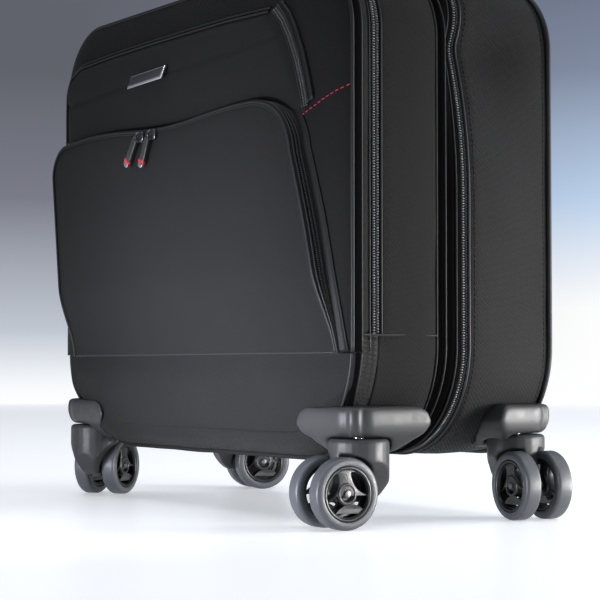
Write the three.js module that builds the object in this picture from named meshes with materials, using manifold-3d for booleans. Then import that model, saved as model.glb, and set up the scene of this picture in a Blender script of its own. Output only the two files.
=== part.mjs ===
// A soft-sided rolling laptop case on four twin-wheel swivel casters.
//
// Millimetres, +X to the case's right, -Y to its front, +Z up, floor at z = 0.
// The case is a rear shell and a front section that meet at the main zipper and open like a
// book about the left side. The front section carries the laptop compartment, whose front panel
// folds forward about a seam near the bottom, and that panel carries the two outer pockets.
// A two-stage pull handle slides in the back of the rear shell.
import * as THREE from 'three';
import { ConvexGeometry } from 'three/addons/geometries/ConvexGeometry.js';
import { mergeVertices } from 'three/addons/utils/BufferGeometryUtils.js';
import Module from 'manifold-3d';

const wasm = await Module();
wasm.setup();

// ---------------------------------------------------------------- driving dimensions

const GAP = 0.3; // left between pieces that touch
const WALL = 4; // padded fabric over foam and board
const FAR = 400; // reach of a cutting block, beyond any part

// The casters stand at different headings, so the whole box is not centred on the case.
const CASE_CENTRE = [-4, -1, 0];

const CASE = {
  halfWidth: 209,
  bottom: 47,
  top: 404,
  bottomRadius: 80,
  topRadius: 57,
  front: -90.5,
  back: 90.5,
};
const LOWER_FRONT_ROUNDING = { depth: 24, inward: 18 };
const BACK_ROUNDING = { depth: 12, inward: 10 };
const PANEL_CROWN = { depth: 5, inward: 14 };

const MAIN_ZIP_Y = 10; // middle of the gap that the main zipper closes
const LAPTOP_ZIP_Y = -71; // middle of the laptop compartment's zipper
const ZIP_GAP = 2;
const ZIP_THICKNESS = 1.4;
const ZIP_WIDTH = 6;
const SEAM_Z = 122; // fold of the front panel and bottom of the lower pocket
const LAPTOP_ZIP_END_Z = 134;
const DIVIDER_Y = 4.5; // front face of the wall between the two compartments

const PANEL_FACE_Y = -95; // flat face of the front panel behind the pockets
const POCKET = {
  left: -205,
  bottomLeft: -185,
  right: 197,
  top: 301,
  shoulderX: 108,
  shoulderZ: 264,
  shoulderEndX: 158,
  cornerRadius: 18,
  gussetY: -103,
  flapBackY: -104.8,
  flapFrontY: -108.8,
};
const UPPER_POCKET = { left: -196, right: 146, bottom: 308, top: 372, radius: 14, frontY: -102 };
const BADGE = { x: -50, z: 345, width: 54, height: 9, thickness: 1.6 };

const CASTER = {
  x: 191.7,
  y: 73.2,
  wheelRadius: 25,
  wheelWidth: 13,
  wheelPitch: 27,
  trail: 21,
  hoodRadius: 21.5,
  hoodTop: 62,
  hoodBottom: 18,
  webHalf: 5.4,
  wheelClearance: 2,
  pinRadius: 4,
  pinTop: 68,
  pinBottom: 50,
  axleRadius: 2.5,
  sweepRadius: 51,
  cupRadius: 25.5,
  cupTop: 66,
};
// Direction in which each caster's wheels trail, in degrees from +X.
const CASTERS = [
  { name: 'front_right', side: 1, end: -1, heading: -94 },
  { name: 'front_left', side: -1, end: -1, heading: 122 },
  { name: 'rear_right', side: 1, end: 1, heading: -9 },
  { name: 'rear_left', side: -1, end: 1, heading: 75.6 },
];

// Outline of a corner guard at several heights: how far it stands inside its outer faces, and
// where its two ends are, measured from the case's centre lines.
const GUARD = { outerX: 213, outerY: 94.5, cornerRadius: 12, valleyRadius: 26, valleyDepth: 2.2 };
const GUARD_LEVELS = [
  { z: 84.5, inset: 1.2, endX: 157, frontEndY: 34, rearEndY: 47 },
  { z: 81, inset: 0, endX: 148, frontEndY: 27, rearEndY: 43 },
  { z: 72, inset: 0, endX: 142.5, frontEndY: 23, rearEndY: 40 },
  { z: 65, inset: 2, endX: 147, frontEndY: 28, rearEndY: 44 },
  { z: 60, inset: 7, endX: 155, frontEndY: 36, rearEndY: 50 },
  { z: 51.5, inset: 16, endX: 164, frontEndY: 46, rearEndY: 56 },
];

const HANDLE = {
  tubeX: 105,
  y: 65,
  outer: { width: 20, depth: 13, wall: 1, bottom: 62, top: 387.5 },
  middle: { width: 17.4, depth: 10.4, wall: 1, bottom: 66, top: 394 },
  inner: { width: 14.8, depth: 7.8, bottom: 70, top: 395.5 },
  gripHalfWidth: 119,
  gripDepth: 16,
  gripBottom: 395.8,
  gripTop: 407.5,
};
const BUTTON = { halfWidth: 16, depth: 9, recessFloor: 398.6, bottom: 402, top: 408.6 };
const BEZEL = {
  halfWidth: 134,
  front: 48,
  back: 80,
  flange: 4,
  flangeTop: 406.4,
  bottom: 388,
  floor: 392,
  wall: 3,
};
const CARRY = {
  y: 29,
  width: 24,
  thickness: 5,
  endX: 86,
  crownX: 58,
  shoulderZ: 409,
  crownZ: 423,
  tailBottom: 385,
};

// ---------------------------------------------------------------- materials

const material = (color, roughness, metalness = 0) =>
  new THREE.MeshStandardMaterial({ color, roughness, metalness });

const nylon = () => material(0x242427, 0.85);
const zipperTape = () => material(0x101012, 0.7);
const lining = () => material(0x3a3b3f, 0.9);
const greyPlastic = () => material(0x55575b, 0.45);
const hubPlastic = () => material(0x3f4144, 0.4);
const tyreRubber = () => material(0x2a2b2d, 0.5);
const blackPlastic = () => material(0x1b1b1d, 0.5);
const steel = () => material(0x9a9ca0, 0.3, 1);
const aluminium = () => material(0xb4b7bb, 0.35, 1);
const darkMetal = () => material(0x4c4e52, 0.35, 1);

// ---------------------------------------------------------------- solids

/** A closed three.js geometry as a solid that can be joined and cut. */
function solid(geometry) {
  const bare = geometry.clone();
  for (const name of Object.keys(bare.attributes)) {
    if (name !== 'position') bare.deleteAttribute(name);
  }
  const merged = mergeVertices(bare, 1e-4);
  return new wasm.Manifold(
    new wasm.Mesh({
      numProp: 3,
      vertProperties: new Float32Array(merged.attributes.position.array),
      triVerts: new Uint32Array(merged.index.array),
    }),
  );
}

/** The solid as a three.js geometry. */
function toGeometry(body) {
  const { vertProperties, triVerts } = body.getMesh();
  const geometry = new THREE.BufferGeometry();
  geometry.setAttribute('position', new THREE.BufferAttribute(vertProperties, 3));
  geometry.setIndex(new THREE.BufferAttribute(triVerts, 1));
  geometry.computeVertexNormals();
  return geometry;
}

/** An axis-aligned block between two corners. */
function block(x0, x1, y0, y1, z0, z1) {
  const box = new THREE.BoxGeometry(x1 - x0, y1 - y0, z1 - z0);
  return solid(box.translate((x0 + x1) / 2, (y0 + y1) / 2, (z0 + z1) / 2));
}

/** A closed shape drawn in X and Z, extruded from y0 back to y1. */
function alongY(shape, y0, y1, curveSegments = 5) {
  const geometry = new THREE.ExtrudeGeometry(shape, {
    depth: y1 - y0,
    bevelEnabled: false,
    curveSegments,
  });
  return solid(geometry.rotateX(Math.PI / 2).translate(0, y1, 0));
}

/** As alongY, with the edge at the front (end = -1) or the back (end = 1) rounded. */
function alongYRounded(shape, y0, y1, end, rounding, curveSegments = 5) {
  const geometry = new THREE.ExtrudeGeometry(shape, {
    depth: y1 - y0,
    bevelEnabled: true,
    bevelThickness: rounding.depth,
    bevelSize: rounding.inward,
    bevelOffset: -rounding.inward,
    bevelSegments: 3,
    curveSegments,
  });
  const whole = solid(geometry.rotateX(Math.PI / 2).translate(0, y1, 0));
  const shifted = whole.translate([0, end < 0 ? rounding.depth : -rounding.depth, 0]);
  const spare =
    end < 0
      ? block(-FAR, FAR, y1, y1 + FAR, -FAR, 2 * FAR)
      : block(-FAR, FAR, y0 - FAR, y0, -FAR, 2 * FAR);
  return shifted.subtract(spare);
}

/** A shape drawn in X and Y, extruded from z0 up to z1. */
function alongZ(shape, z0, z1, curveSegments = 5) {
  const geometry = new THREE.ExtrudeGeometry(shape, {
    depth: z1 - z0,
    bevelEnabled: false,
    curveSegments,
  });
  return solid(geometry.translate(0, 0, z0));
}

/** A cylinder about a vertical axis. */
function post(x, y, z0, z1, radius, sides = 24) {
  const cylinder = new THREE.CylinderGeometry(radius, radius, z1 - z0, sides);
  return solid(cylinder.rotateX(Math.PI / 2).translate(x, y, (z0 + z1) / 2));
}

/** A cylinder about an axis along Y. */
function rod(x, z, y0, y1, radius, sides = 24) {
  const cylinder = new THREE.CylinderGeometry(radius, radius, y1 - y0, sides);
  return solid(cylinder.translate(x, (y0 + y1) / 2, z));
}

/** A profile of (radius, y) pairs that closes on itself, turned about the Y axis. */
function ring(profile, sides) {
  const points = [...profile, profile[0]].map(([radius, y]) => new THREE.Vector2(radius, y));
  return solid(new THREE.LatheGeometry(points, sides));
}

/** A rectangle with rounded corners, centred on (cx, cy). */
function roundedRectangle(cx, cy, halfWidth, halfHeight, radius) {
  const shape = new THREE.Shape();
  const [x0, x1] = [cx - halfWidth, cx + halfWidth];
  const [y0, y1] = [cy - halfHeight, cy + halfHeight];
  shape.moveTo(x0 + radius, y0).lineTo(x1 - radius, y0);
  shape.absarc(x1 - radius, y0 + radius, radius, -Math.PI / 2, 0);
  shape.absarc(x1 - radius, y1 - radius, radius, 0, Math.PI / 2);
  shape.absarc(x0 + radius, y1 - radius, radius, Math.PI / 2, Math.PI);
  shape.absarc(x0 + radius, y0 + radius, radius, Math.PI, 1.5 * Math.PI);
  return shape;
}

/** The case seen from the front, drawn this far inside its outer faces. */
function caseOutline(inset = 0) {
  const half = CASE.halfWidth - inset;
  const low = CASE.bottomRadius - inset;
  const high = CASE.topRadius - inset;
  const [z0, z1] = [CASE.bottom + inset, CASE.top - inset];
  const shape = new THREE.Shape();
  shape.moveTo(-half + low, z0).lineTo(half - low, z0);
  shape.absarc(half - low, z0 + low, low, -Math.PI / 2, 0);
  shape.absarc(half - high, z1 - high, high, 0, Math.PI / 2);
  shape.absarc(-half + high, z1 - high, high, Math.PI / 2, Math.PI);
  shape.absarc(-half + low, z0 + low, low, Math.PI, 1.5 * Math.PI);
  return shape;
}

/** The lower pocket seen from the front: a leaning left side, and a shoulder on the right. */
function pocketOutline(inset = 0) {
  const p = POCKET;
  const [x0, z0, z1] = [p.left + inset, SEAM_Z + 0.5 + inset, p.top - inset];
  const r = p.cornerRadius - inset;
  const shape = new THREE.Shape();
  shape.moveTo(p.bottomLeft + inset, z0).lineTo(p.right - 1.2 * inset, z0);
  shape.lineTo(p.shoulderEndX - inset, p.shoulderZ);
  shape.quadraticCurveTo(p.shoulderEndX - 9 - inset, z1, p.shoulderX - inset, z1);
  shape.lineTo(x0 + r, z1);
  shape.absarc(x0 + r, z1 - r, r, Math.PI / 2, Math.PI);
  return shape;
}

/** A zipper's closed teeth all round the case, in the gap between two shells. */
function zipperRing(y) {
  const half = ZIP_THICKNESS / 2;
  const inside = alongY(caseOutline(ZIP_WIDTH), y - ZIP_WIDTH, y + ZIP_WIDTH);
  return alongY(caseOutline(0.6), y - half, y + half).subtract(inside);
}

/** Room in the case's bottom corners for the cups that the casters' hoods turn in. */
function casterCups(end, inset = 0) {
  const cup = (side) =>
    post(side * CASTER.x, end * CASTER.y, 0, CASTER.cupTop - inset, CASTER.cupRadius - inset, 24);
  return cup(1).add(cup(-1));
}

// ---------------------------------------------------------------- scene graph

const root = new THREE.Group();
root.position.set(...CASE_CENTRE);

function add(name, body, surface, parent = root) {
  const mesh = new THREE.Mesh(toGeometry(body), surface);
  mesh.name = name;
  parent.add(mesh);
  return mesh;
}

// ---------------------------------------------------------------- rear shell and handle

const bezelHole = () =>
  block(
    -BEZEL.halfWidth - 0.5,
    BEZEL.halfWidth + 0.5,
    BEZEL.front - 0.5,
    BEZEL.back + 0.5,
    BEZEL.bottom,
    CASE.top + 5,
  );

function carrySlot(side) {
  const x = side * (CARRY.endX - CARRY.thickness / 2);
  const [halfX, halfY] = [CARRY.thickness / 2 + 0.6, CARRY.width / 2 + 0.6];
  return block(x - halfX, x + halfX, CARRY.y - halfY, CARRY.y + halfY, 390, CASE.top + 5);
}

function addRearShell() {
  const front = MAIN_ZIP_Y + ZIP_GAP / 2;
  const hollow = alongYRounded(caseOutline(WALL), front - 1, CASE.back - WALL, 1, {
    depth: BACK_ROUNDING.depth - WALL / 2,
    inward: BACK_ROUNDING.inward - WALL / 2,
  });
  const shell = alongYRounded(caseOutline(), front, CASE.back, 1, BACK_ROUNDING)
    .subtract(hollow)
    .subtract(casterCups(1))
    .subtract(bezelHole())
    .subtract(carrySlot(-1))
    .subtract(carrySlot(1));
  add('rear_shell', shell, nylon());

  add('main_zipper', zipperRing(MAIN_ZIP_Y), zipperTape());

  add('back_board', alongY(caseOutline(20), 76, 78.5, 4), blackPlastic());
}

/** A rectangular tube of the pull handle; a wall of 0 makes it solid. */
function handleTube(x, { width, depth, wall = 0, bottom, top }) {
  const { y } = HANDLE;
  const tube = block(x - width / 2, x + width / 2, y - depth / 2, y + depth / 2, bottom, top);
  if (wall === 0) return tube;
  const [halfX, halfY] = [width / 2 - wall, depth / 2 - wall];
  return tube.subtract(block(x - halfX, x + halfX, y - halfY, y + halfY, bottom - 1, top + 1));
}

function addPullHandle() {
  const h = HANDLE;
  for (const [name, side] of [['left', -1], ['right', 1]]) {
    const x = side * h.tubeX;
    add(`outer_tube_${name}`, handleTube(x, h.outer), aluminium());
    add(`middle_tube_${name}`, handleTube(x, h.middle), aluminium());
    add(`inner_tube_${name}`, handleTube(x, h.inner), aluminium());
  }

  const half = h.gripDepth / 2;
  const outline = roundedRectangle(0, h.y, h.gripHalfWidth, half, half - 1);
  const recess = roundedRectangle(0, h.y, BUTTON.halfWidth + 0.5, BUTTON.depth / 2 + 0.5, 4);
  const grip = alongZ(outline, h.gripBottom, h.gripTop, 4)
    .subtract(alongZ(recess, BUTTON.recessFloor, h.gripTop + 1, 4));
  add('handle_grip', grip, blackPlastic());
  const button = roundedRectangle(0, h.y, BUTTON.halfWidth, BUTTON.depth / 2, 3.6);
  add('handle_button', alongZ(button, BUTTON.bottom, BUTTON.top, 4), greyPlastic());
}

function addHandleBezel() {
  const b = BEZEL;
  const flange = block(
    -b.halfWidth - b.flange,
    b.halfWidth + b.flange,
    b.front - b.flange,
    b.back + b.flange,
    CASE.top + 0.4,
    b.flangeTop,
  );
  let bezel = block(-b.halfWidth, b.halfWidth, b.front, b.back, b.bottom, b.flangeTop)
    .add(flange)
    .subtract(
      block(
        -b.halfWidth + b.wall,
        b.halfWidth - b.wall,
        b.front + b.wall,
        b.back - b.wall,
        b.floor,
        b.flangeTop + 1,
      ),
    );
  for (const side of [-1, 1]) {
    const { width, depth } = HANDLE.middle;
    const [x, halfX, halfY] = [side * HANDLE.tubeX, width / 2 + 0.4, depth / 2 + 0.4];
    const [y0, y1] = [HANDLE.y - halfY, HANDLE.y + halfY];
    bezel = bezel.subtract(block(x - halfX, x + halfX, y0, y1, b.bottom - 1, b.floor + 1));
  }
  add('handle_bezel', bezel, blackPlastic());
}

function addCarryHandle() {
  const c = CARRY;
  const shape = new THREE.Shape();
  shape.moveTo(-c.endX, c.tailBottom);
  shape.lineTo(-c.endX, c.shoulderZ).quadraticCurveTo(-c.endX, c.crownZ, -c.crownX, c.crownZ);
  shape.lineTo(c.crownX, c.crownZ).quadraticCurveTo(c.endX, c.crownZ, c.endX, c.shoulderZ);
  shape.lineTo(c.endX, c.tailBottom).lineTo(c.endX - c.thickness, c.tailBottom);
  const [inX, inZ] = [c.endX - c.thickness, c.crownZ - c.thickness];
  shape.lineTo(inX, c.shoulderZ - 1).quadraticCurveTo(inX, inZ, c.crownX, inZ);
  shape.lineTo(-c.crownX, inZ).quadraticCurveTo(-inX, inZ, -inX, c.shoulderZ - 1);
  shape.lineTo(-inX, c.tailBottom);
  add('carry_handle', alongY(shape, c.y - c.width / 2, c.y + c.width / 2, 5), nylon());
}

// ---------------------------------------------------------------- front section

/** The front section's whole outer form, this far inside its faces, up to the main zipper. */
function frontForm(inset) {
  const back = inset === 0 ? MAIN_ZIP_Y - ZIP_GAP / 2 : DIVIDER_Y;
  return alongYRounded(caseOutline(inset), CASE.front + inset, back, -1, {
    depth: LOWER_FRONT_ROUNDING.depth - inset,
    inward: LOWER_FRONT_ROUNDING.inward - inset,
  });
}

function addFrontShell() {
  const splitY = LAPTOP_ZIP_Y + ZIP_GAP / 2;
  const panelRoom = block(-FAR, FAR, -FAR, splitY, SEAM_Z - 0.4, FAR * 2);
  const shell = frontForm(0)
    .subtract(frontForm(WALL))
    .subtract(panelRoom)
    .subtract(casterCups(-1));
  add('front_shell', shell, nylon());

  const zip = zipperRing(LAPTOP_ZIP_Y).subtract(block(-FAR, FAR, -FAR, FAR, 0, LAPTOP_ZIP_END_Z));
  add('laptop_zipper', zip, zipperTape());

  const aboveSleeve = block(-FAR, FAR, -FAR, FAR, 340, FAR * 2);
  const sleeve = alongY(caseOutline(WALL + 5), -32, -28, 4).subtract(aboveSleeve);
  add('laptop_sleeve', sleeve, lining());
}

function addFrontPanel() {
  const back = LAPTOP_ZIP_Y - ZIP_GAP / 2;
  const belowSeam = block(-FAR, FAR, -FAR, FAR, -FAR, SEAM_Z + 0.1);
  const outer = alongYRounded(caseOutline(), PANEL_FACE_Y, back, -1, PANEL_CROWN);
  const inner = alongYRounded(caseOutline(WALL), PANEL_FACE_Y + WALL, back + 1, -1, {
    depth: PANEL_CROWN.depth - 1,
    inward: PANEL_CROWN.inward - 2,
  });
  const gusset = alongY(pocketOutline(), POCKET.gussetY, PANEL_FACE_Y + 2)
    .subtract(alongY(pocketOutline(WALL), POCKET.gussetY - 1, PANEL_FACE_Y))
    .subtract(alongY(caseOutline(WALL), PANEL_FACE_Y + WALL, FAR));
  const panel = outer.subtract(inner).subtract(belowSeam).add(gusset);
  add('front_panel', panel, nylon());

  const u = UPPER_POCKET;
  const [cx, cz] = [(u.left + u.right) / 2, (u.bottom + u.top) / 2];
  const pad = roundedRectangle(cx, cz, (u.right - u.left) / 2, (u.top - u.bottom) / 2, u.radius);
  add('upper_pocket', alongY(pad, u.frontY, PANEL_FACE_Y - GAP, 4), nylon());

  const b = BADGE;
  const plate = roundedRectangle(b.x, b.z, b.width / 2, b.height / 2, 2);
  add('badge_plate', alongY(plate, u.frontY - GAP - b.thickness, u.frontY - GAP, 3), aluminium());
}

function addPocketFlap() {
  add('pocket_flap', alongY(pocketOutline(), POCKET.flapFrontY, POCKET.flapBackY), nylon());
}

// ---------------------------------------------------------------- zipper sliders

const SLIDER = { run: 12, across: 9, thickness: 3, barY: -5.1, barRadius: 0.6, legInside: 2.2 };
const PULL = { width: 7, shoulder: -3, bottom: -26, thickness: 2.4, loopRadius: 1.7, tongue: 1.8 };

/** A cylinder about an axis along X, through the slider's bar. */
function barRod(halfLength, radius, sides) {
  const cylinder = new THREE.CylinderGeometry(radius, radius, 2 * halfLength, sides);
  return solid(cylinder.rotateZ(Math.PI / 2).translate(0, SLIDER.barY, 0));
}

/**
 * A slider with its pull. In its own frame the slider lies against the plane y = 0 and faces -Y,
 * and the pull hangs down from the bar between two legs on the slider's front.
 */
function addSlider(name, position, turn, upright = false) {
  const group = new THREE.Group();
  group.position.set(...position);
  group.rotation.set(...turn);
  root.add(group);

  const s = SLIDER;
  const [halfX, halfZ] = upright ? [s.across / 2, s.run / 2] : [s.run / 2, s.across / 2];
  const leg = (side) => {
    const [x0, x1] = [side * s.legInside, side * (s.legInside + 1)];
    return block(Math.min(x0, x1), Math.max(x0, x1), s.barY - 0.9, -s.thickness + 0.5, -0.9, 0.9);
  };
  const body = alongY(roundedRectangle(0, 0, halfX, halfZ, 2), -s.thickness, 0, 2)
    .add(leg(-1))
    .add(leg(1))
    .add(barRod(s.legInside + 0.5, s.barRadius, 8));
  add(`${name}_slider`, body, darkMetal(), group);

  const p = PULL;
  const [front, back] = [s.barY - p.thickness / 2, s.barY + p.thickness / 2];
  const [middle, halfLength] = [(p.shoulder + p.bottom) / 2, (p.shoulder - p.bottom) / 2];
  const plate = roundedRectangle(0, middle, p.width / 2, halfLength, 2.2);
  const pull = alongY(plate, front, back, 2)
    .add(block(-p.tongue, p.tongue, front, back, p.shoulder - 1, 0))
    .add(barRod(p.tongue, p.loopRadius, 12))
    .subtract(barRod(p.tongue + 1, s.barRadius + GAP, 8));
  add(`${name}_pull`, pull, blackPlastic(), group);
}

function addSliders() {
  const flapFace = POCKET.flapFrontY - GAP;
  const pocketZ = POCKET.top - 5;
  addSlider('pocket_left', [-50, flapFace, pocketZ], [0, 0, 0]);
  addSlider('pocket_right', [-31, flapFace, pocketZ], [0, 0, 0]);
  addSlider('laptop', [-CASE.halfWidth - GAP, LAPTOP_ZIP_Y - 4, 302], [0, 0, -Math.PI / 2], true);
  addSlider('main', [0, MAIN_ZIP_Y, CASE.top + GAP], [-Math.PI / 2, 0, 0]);
}

// ---------------------------------------------------------------- corner guards

/** Corners of the guard's outline at one level, for the corner at +X and the given end. */
function guardLevelPoints(level, end) {
  const x = GUARD.outerX - level.inset;
  const y = GUARD.outerY - level.inset;
  const endY = end < 0 ? level.frontEndY : level.rearEndY;
  const r = GUARD.cornerRadius;
  const points = [[level.endX, y], [x, endY], [level.endX, endY]];
  for (let step = 0; step <= 4; step += 1) {
    const angle = (step / 4) * (Math.PI / 2);
    points.push([x - r + r * Math.cos(angle), y - r + r * Math.sin(angle)]);
  }
  return points.map(([px, py]) => new THREE.Vector3(px, end * py, level.z));
}

function cornerGuard(end) {
  const points = GUARD_LEVELS.flatMap((level) => guardLevelPoints(level, end));
  const hull = solid(new ConvexGeometry(points));
  const [x, y] = [CASTER.x, end * CASTER.y];
  const grown = -GAP;
  const shell =
    end < 0
      ? alongYRounded(caseOutline(grown), CASE.front + grown, 20, -1, LOWER_FRONT_ROUNDING)
      : alongYRounded(caseOutline(grown), -20, CASE.back - grown, 1, BACK_ROUNDING);
  const valley = GUARD.valleyRadius + GUARD.cornerRadius * (1 - Math.SQRT1_2) * Math.SQRT2;
  const reach = (valley - GUARD.valleyDepth) * Math.SQRT1_2;
  const [valleyX, valleyY] = [GUARD.outerX + reach, end * (GUARD.outerY + reach)];
  return hull
    .subtract(shell.subtract(casterCups(end, GAP)))
    .subtract(post(x, y, 0, CASTER.hoodTop + 0.6, CASTER.hoodRadius + 1, 24))
    .subtract(post(x, y, 0, GUARD_LEVELS.at(-1).z, CASTER.sweepRadius, 24))
    .subtract(post(x, y, 0, CASTER.pinTop + 1, CASTER.pinRadius + GAP, 12))
    .subtract(post(valleyX, valleyY, 0, 100, GUARD.valleyRadius, 32));
}

// ---------------------------------------------------------------- casters

/** Fork in the caster's own frame: +X is the trailing direction and Y is the axle. */
function fork() {
  const c = CASTER;
  const r = c.hoodRadius;
  const profile = [
    [0, c.hoodBottom],
    [r, c.hoodBottom],
    [r, c.hoodTop - 2],
    [r - 2, c.hoodTop],
    [0, c.hoodTop],
  ];
  const points = profile.map(([radius, z]) => new THREE.Vector2(radius, z));
  const hood = solid(new THREE.LatheGeometry(points, 24).rotateX(Math.PI / 2));

  const taper = new THREE.Shape();
  taper.moveTo(-c.webHalf, c.hoodBottom).lineTo(c.webHalf, c.hoodBottom);
  taper.quadraticCurveTo(c.webHalf + 5, 38, r, 46).lineTo(r, c.hoodTop).lineTo(-r, c.hoodTop);
  taper.lineTo(-r, 46).quadraticCurveTo(-c.webHalf - 5, 38, -c.webHalf, c.hoodBottom);
  const tapered = new THREE.ExtrudeGeometry(taper, { depth: 60, bevelEnabled: false, curveSegments: 5 });
  const wedge = solid(tapered.rotateX(Math.PI / 2).rotateZ(Math.PI / 2).translate(-30, 0, 0));

  const back = new THREE.Shape();
  back.moveTo(-r - 1, 70).lineTo(-r - 1, 42).quadraticCurveTo(-r + 3, 24, -8, c.hoodBottom);
  back.lineTo(30, c.hoodBottom).lineTo(30, 70);
  const web = new THREE.Shape();
  web.moveTo(-12, 56).lineTo(-12, c.hoodBottom + 3).lineTo(-8, c.hoodBottom);
  web.lineTo(c.trail, c.wheelRadius - 7);
  web.absarc(c.trail, c.wheelRadius, 7, -Math.PI / 2, Math.PI / 4);
  web.lineTo(16, 56);

  const centre = c.wheelRadius;
  const clear = c.wheelRadius + c.wheelClearance;
  const inner = (c.wheelPitch - c.wheelWidth) / 2 - 1;
  return hood
    .intersect(wedge)
    .intersect(alongY(back, -40, 40, 6))
    .subtract(rod(c.trail, centre, inner, 40, clear, 24))
    .subtract(rod(c.trail, centre, -40, -inner, clear, 24))
    .add(alongY(web, -c.webHalf, c.webHalf, 6))
    .subtract(rod(c.trail, centre, -40, 40, c.axleRadius + GAP, 12))
    .subtract(post(0, 0, c.pinBottom - GAP, 90, c.pinRadius + GAP, 12));
}

/** A wheel's moulded centre: rim, boss and three flared spokes between three windows. */
function hub() {
  const rim = new THREE.Shape().absarc(0, 0, 19.2, 0, 2 * Math.PI);
  const bore = new THREE.Path().absarc(0, 0, CASTER.axleRadius + GAP, 0, 2 * Math.PI, true);
  rim.holes.push(bore);
  for (let spoke = 0; spoke < 3; spoke += 1) {
    const middle = (spoke * 2 * Math.PI) / 3 - Math.PI / 2;
    const at = (radius, turn) => [radius * Math.cos(middle + turn), radius * Math.sin(middle + turn)];
    const window = new THREE.Path();
    window.moveTo(...at(16.8, -0.62));
    window.absarc(0, 0, 16.8, middle - 0.62, middle + 0.62);
    window.quadraticCurveTo(...at(9, 0.42), ...at(8, 0));
    window.quadraticCurveTo(...at(9, -0.42), ...at(16.8, -0.62));
    rim.holes.push(window);
  }
  return alongY(rim, -5.4, 5.4, 6);
}

function tyre() {
  const [r, half, inside] = [CASTER.wheelRadius, CASTER.wheelWidth / 2, 19.2 + GAP];
  const shoulder = 2;
  const profile = [
    [inside, -half],
    [r - shoulder, -half],
    [r, -half + shoulder],
    [r, half - shoulder],
    [r - shoulder, half],
    [inside, half],
  ];
  return ring(profile, 24);
}

function addCaster({ name, side, end, heading }) {
  const c = CASTER;
  const guard = cornerGuard(end);
  add(`guard_${name}`, side > 0 ? guard : guard.mirror([1, 0, 0]), greyPlastic());

  const caster = new THREE.Group();
  caster.position.set(side * c.x, end * c.y, 0);
  caster.rotation.z = THREE.MathUtils.degToRad(heading);
  root.add(caster);
  add(`fork_${name}`, fork(), greyPlastic(), caster);
  add(`swivel_pin_${name}`, post(0, 0, c.pinBottom, c.pinTop, c.pinRadius, 12), steel(), caster);

  const axle = new THREE.Group();
  axle.position.set(c.trail, 0, c.wheelRadius);
  caster.add(axle);
  add(`axle_${name}`, rod(0, 0, -19, 19, c.axleRadius, 12), steel(), axle);
  for (const [wheel, way] of [['a', 1], ['b', -1]]) {
    const group = new THREE.Group();
    group.position.y = (way * c.wheelPitch) / 2;
    axle.add(group);
    add(`hub_${name}_${wheel}`, hub(), hubPlastic(), group);
    add(`tyre_${name}_${wheel}`, tyre(), tyreRubber(), group);
  }
}

// ---------------------------------------------------------------- the case

addRearShell();
addPullHandle();
addHandleBezel();
addCarryHandle();
addFrontShell();
addFrontPanel();
addPocketFlap();
addSliders();
CASTERS.forEach(addCaster);

export default root;
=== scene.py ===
"""Looks of the rolling laptop case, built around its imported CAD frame.

Lengths are in millimetres in the case's own frame (origin on the floor under the middle of the
case's body, +X right, -Y front, +Z up) and become metres in the row frame when a mesh is made.
"""
import math

import bpy
import numpy as np
from mathutils import Matrix, Vector, noise
from mathutils.geometry import delaunay_2d_cdt


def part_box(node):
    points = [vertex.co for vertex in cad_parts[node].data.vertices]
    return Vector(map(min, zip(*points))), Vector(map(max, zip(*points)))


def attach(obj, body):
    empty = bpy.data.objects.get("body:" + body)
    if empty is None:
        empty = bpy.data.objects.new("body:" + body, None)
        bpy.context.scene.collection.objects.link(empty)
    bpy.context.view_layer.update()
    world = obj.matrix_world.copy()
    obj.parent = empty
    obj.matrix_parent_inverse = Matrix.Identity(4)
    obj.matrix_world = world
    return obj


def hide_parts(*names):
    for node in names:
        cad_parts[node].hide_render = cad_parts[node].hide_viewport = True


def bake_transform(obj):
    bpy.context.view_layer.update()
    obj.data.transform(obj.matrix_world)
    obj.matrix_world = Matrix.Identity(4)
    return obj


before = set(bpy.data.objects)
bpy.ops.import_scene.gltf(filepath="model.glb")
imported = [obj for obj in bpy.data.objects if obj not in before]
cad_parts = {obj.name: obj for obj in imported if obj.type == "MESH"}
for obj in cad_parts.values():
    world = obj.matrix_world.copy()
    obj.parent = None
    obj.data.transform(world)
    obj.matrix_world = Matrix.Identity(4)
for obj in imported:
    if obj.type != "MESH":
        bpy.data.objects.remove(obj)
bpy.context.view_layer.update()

MM = 0.001
TAU = 2 * math.pi

# ---------------------------------------------------------------- sizes taken from the frame

BACK = 90.5  # plane of the back's edge
FRONT = -BACK  # plane of the piping round the front face
EDGE_TAPE = -83.5  # rear edge of the bound tape on the front's corner
CHANNEL = -17.4  # front edge of the taped channel beside the main zipper
BOTTOM_RADIUS, TOP_RADIUS = 80.0, 57.0

low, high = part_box("rear_shell")
CENTRE = np.array([(low.x + high.x) / 2 / MM, high.y / MM - BACK, 0.0])


def case_box(node):
    """A CAD node's lowest and highest corners, in the case's millimetres."""
    return tuple(np.array(corner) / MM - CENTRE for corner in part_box(node))


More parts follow.
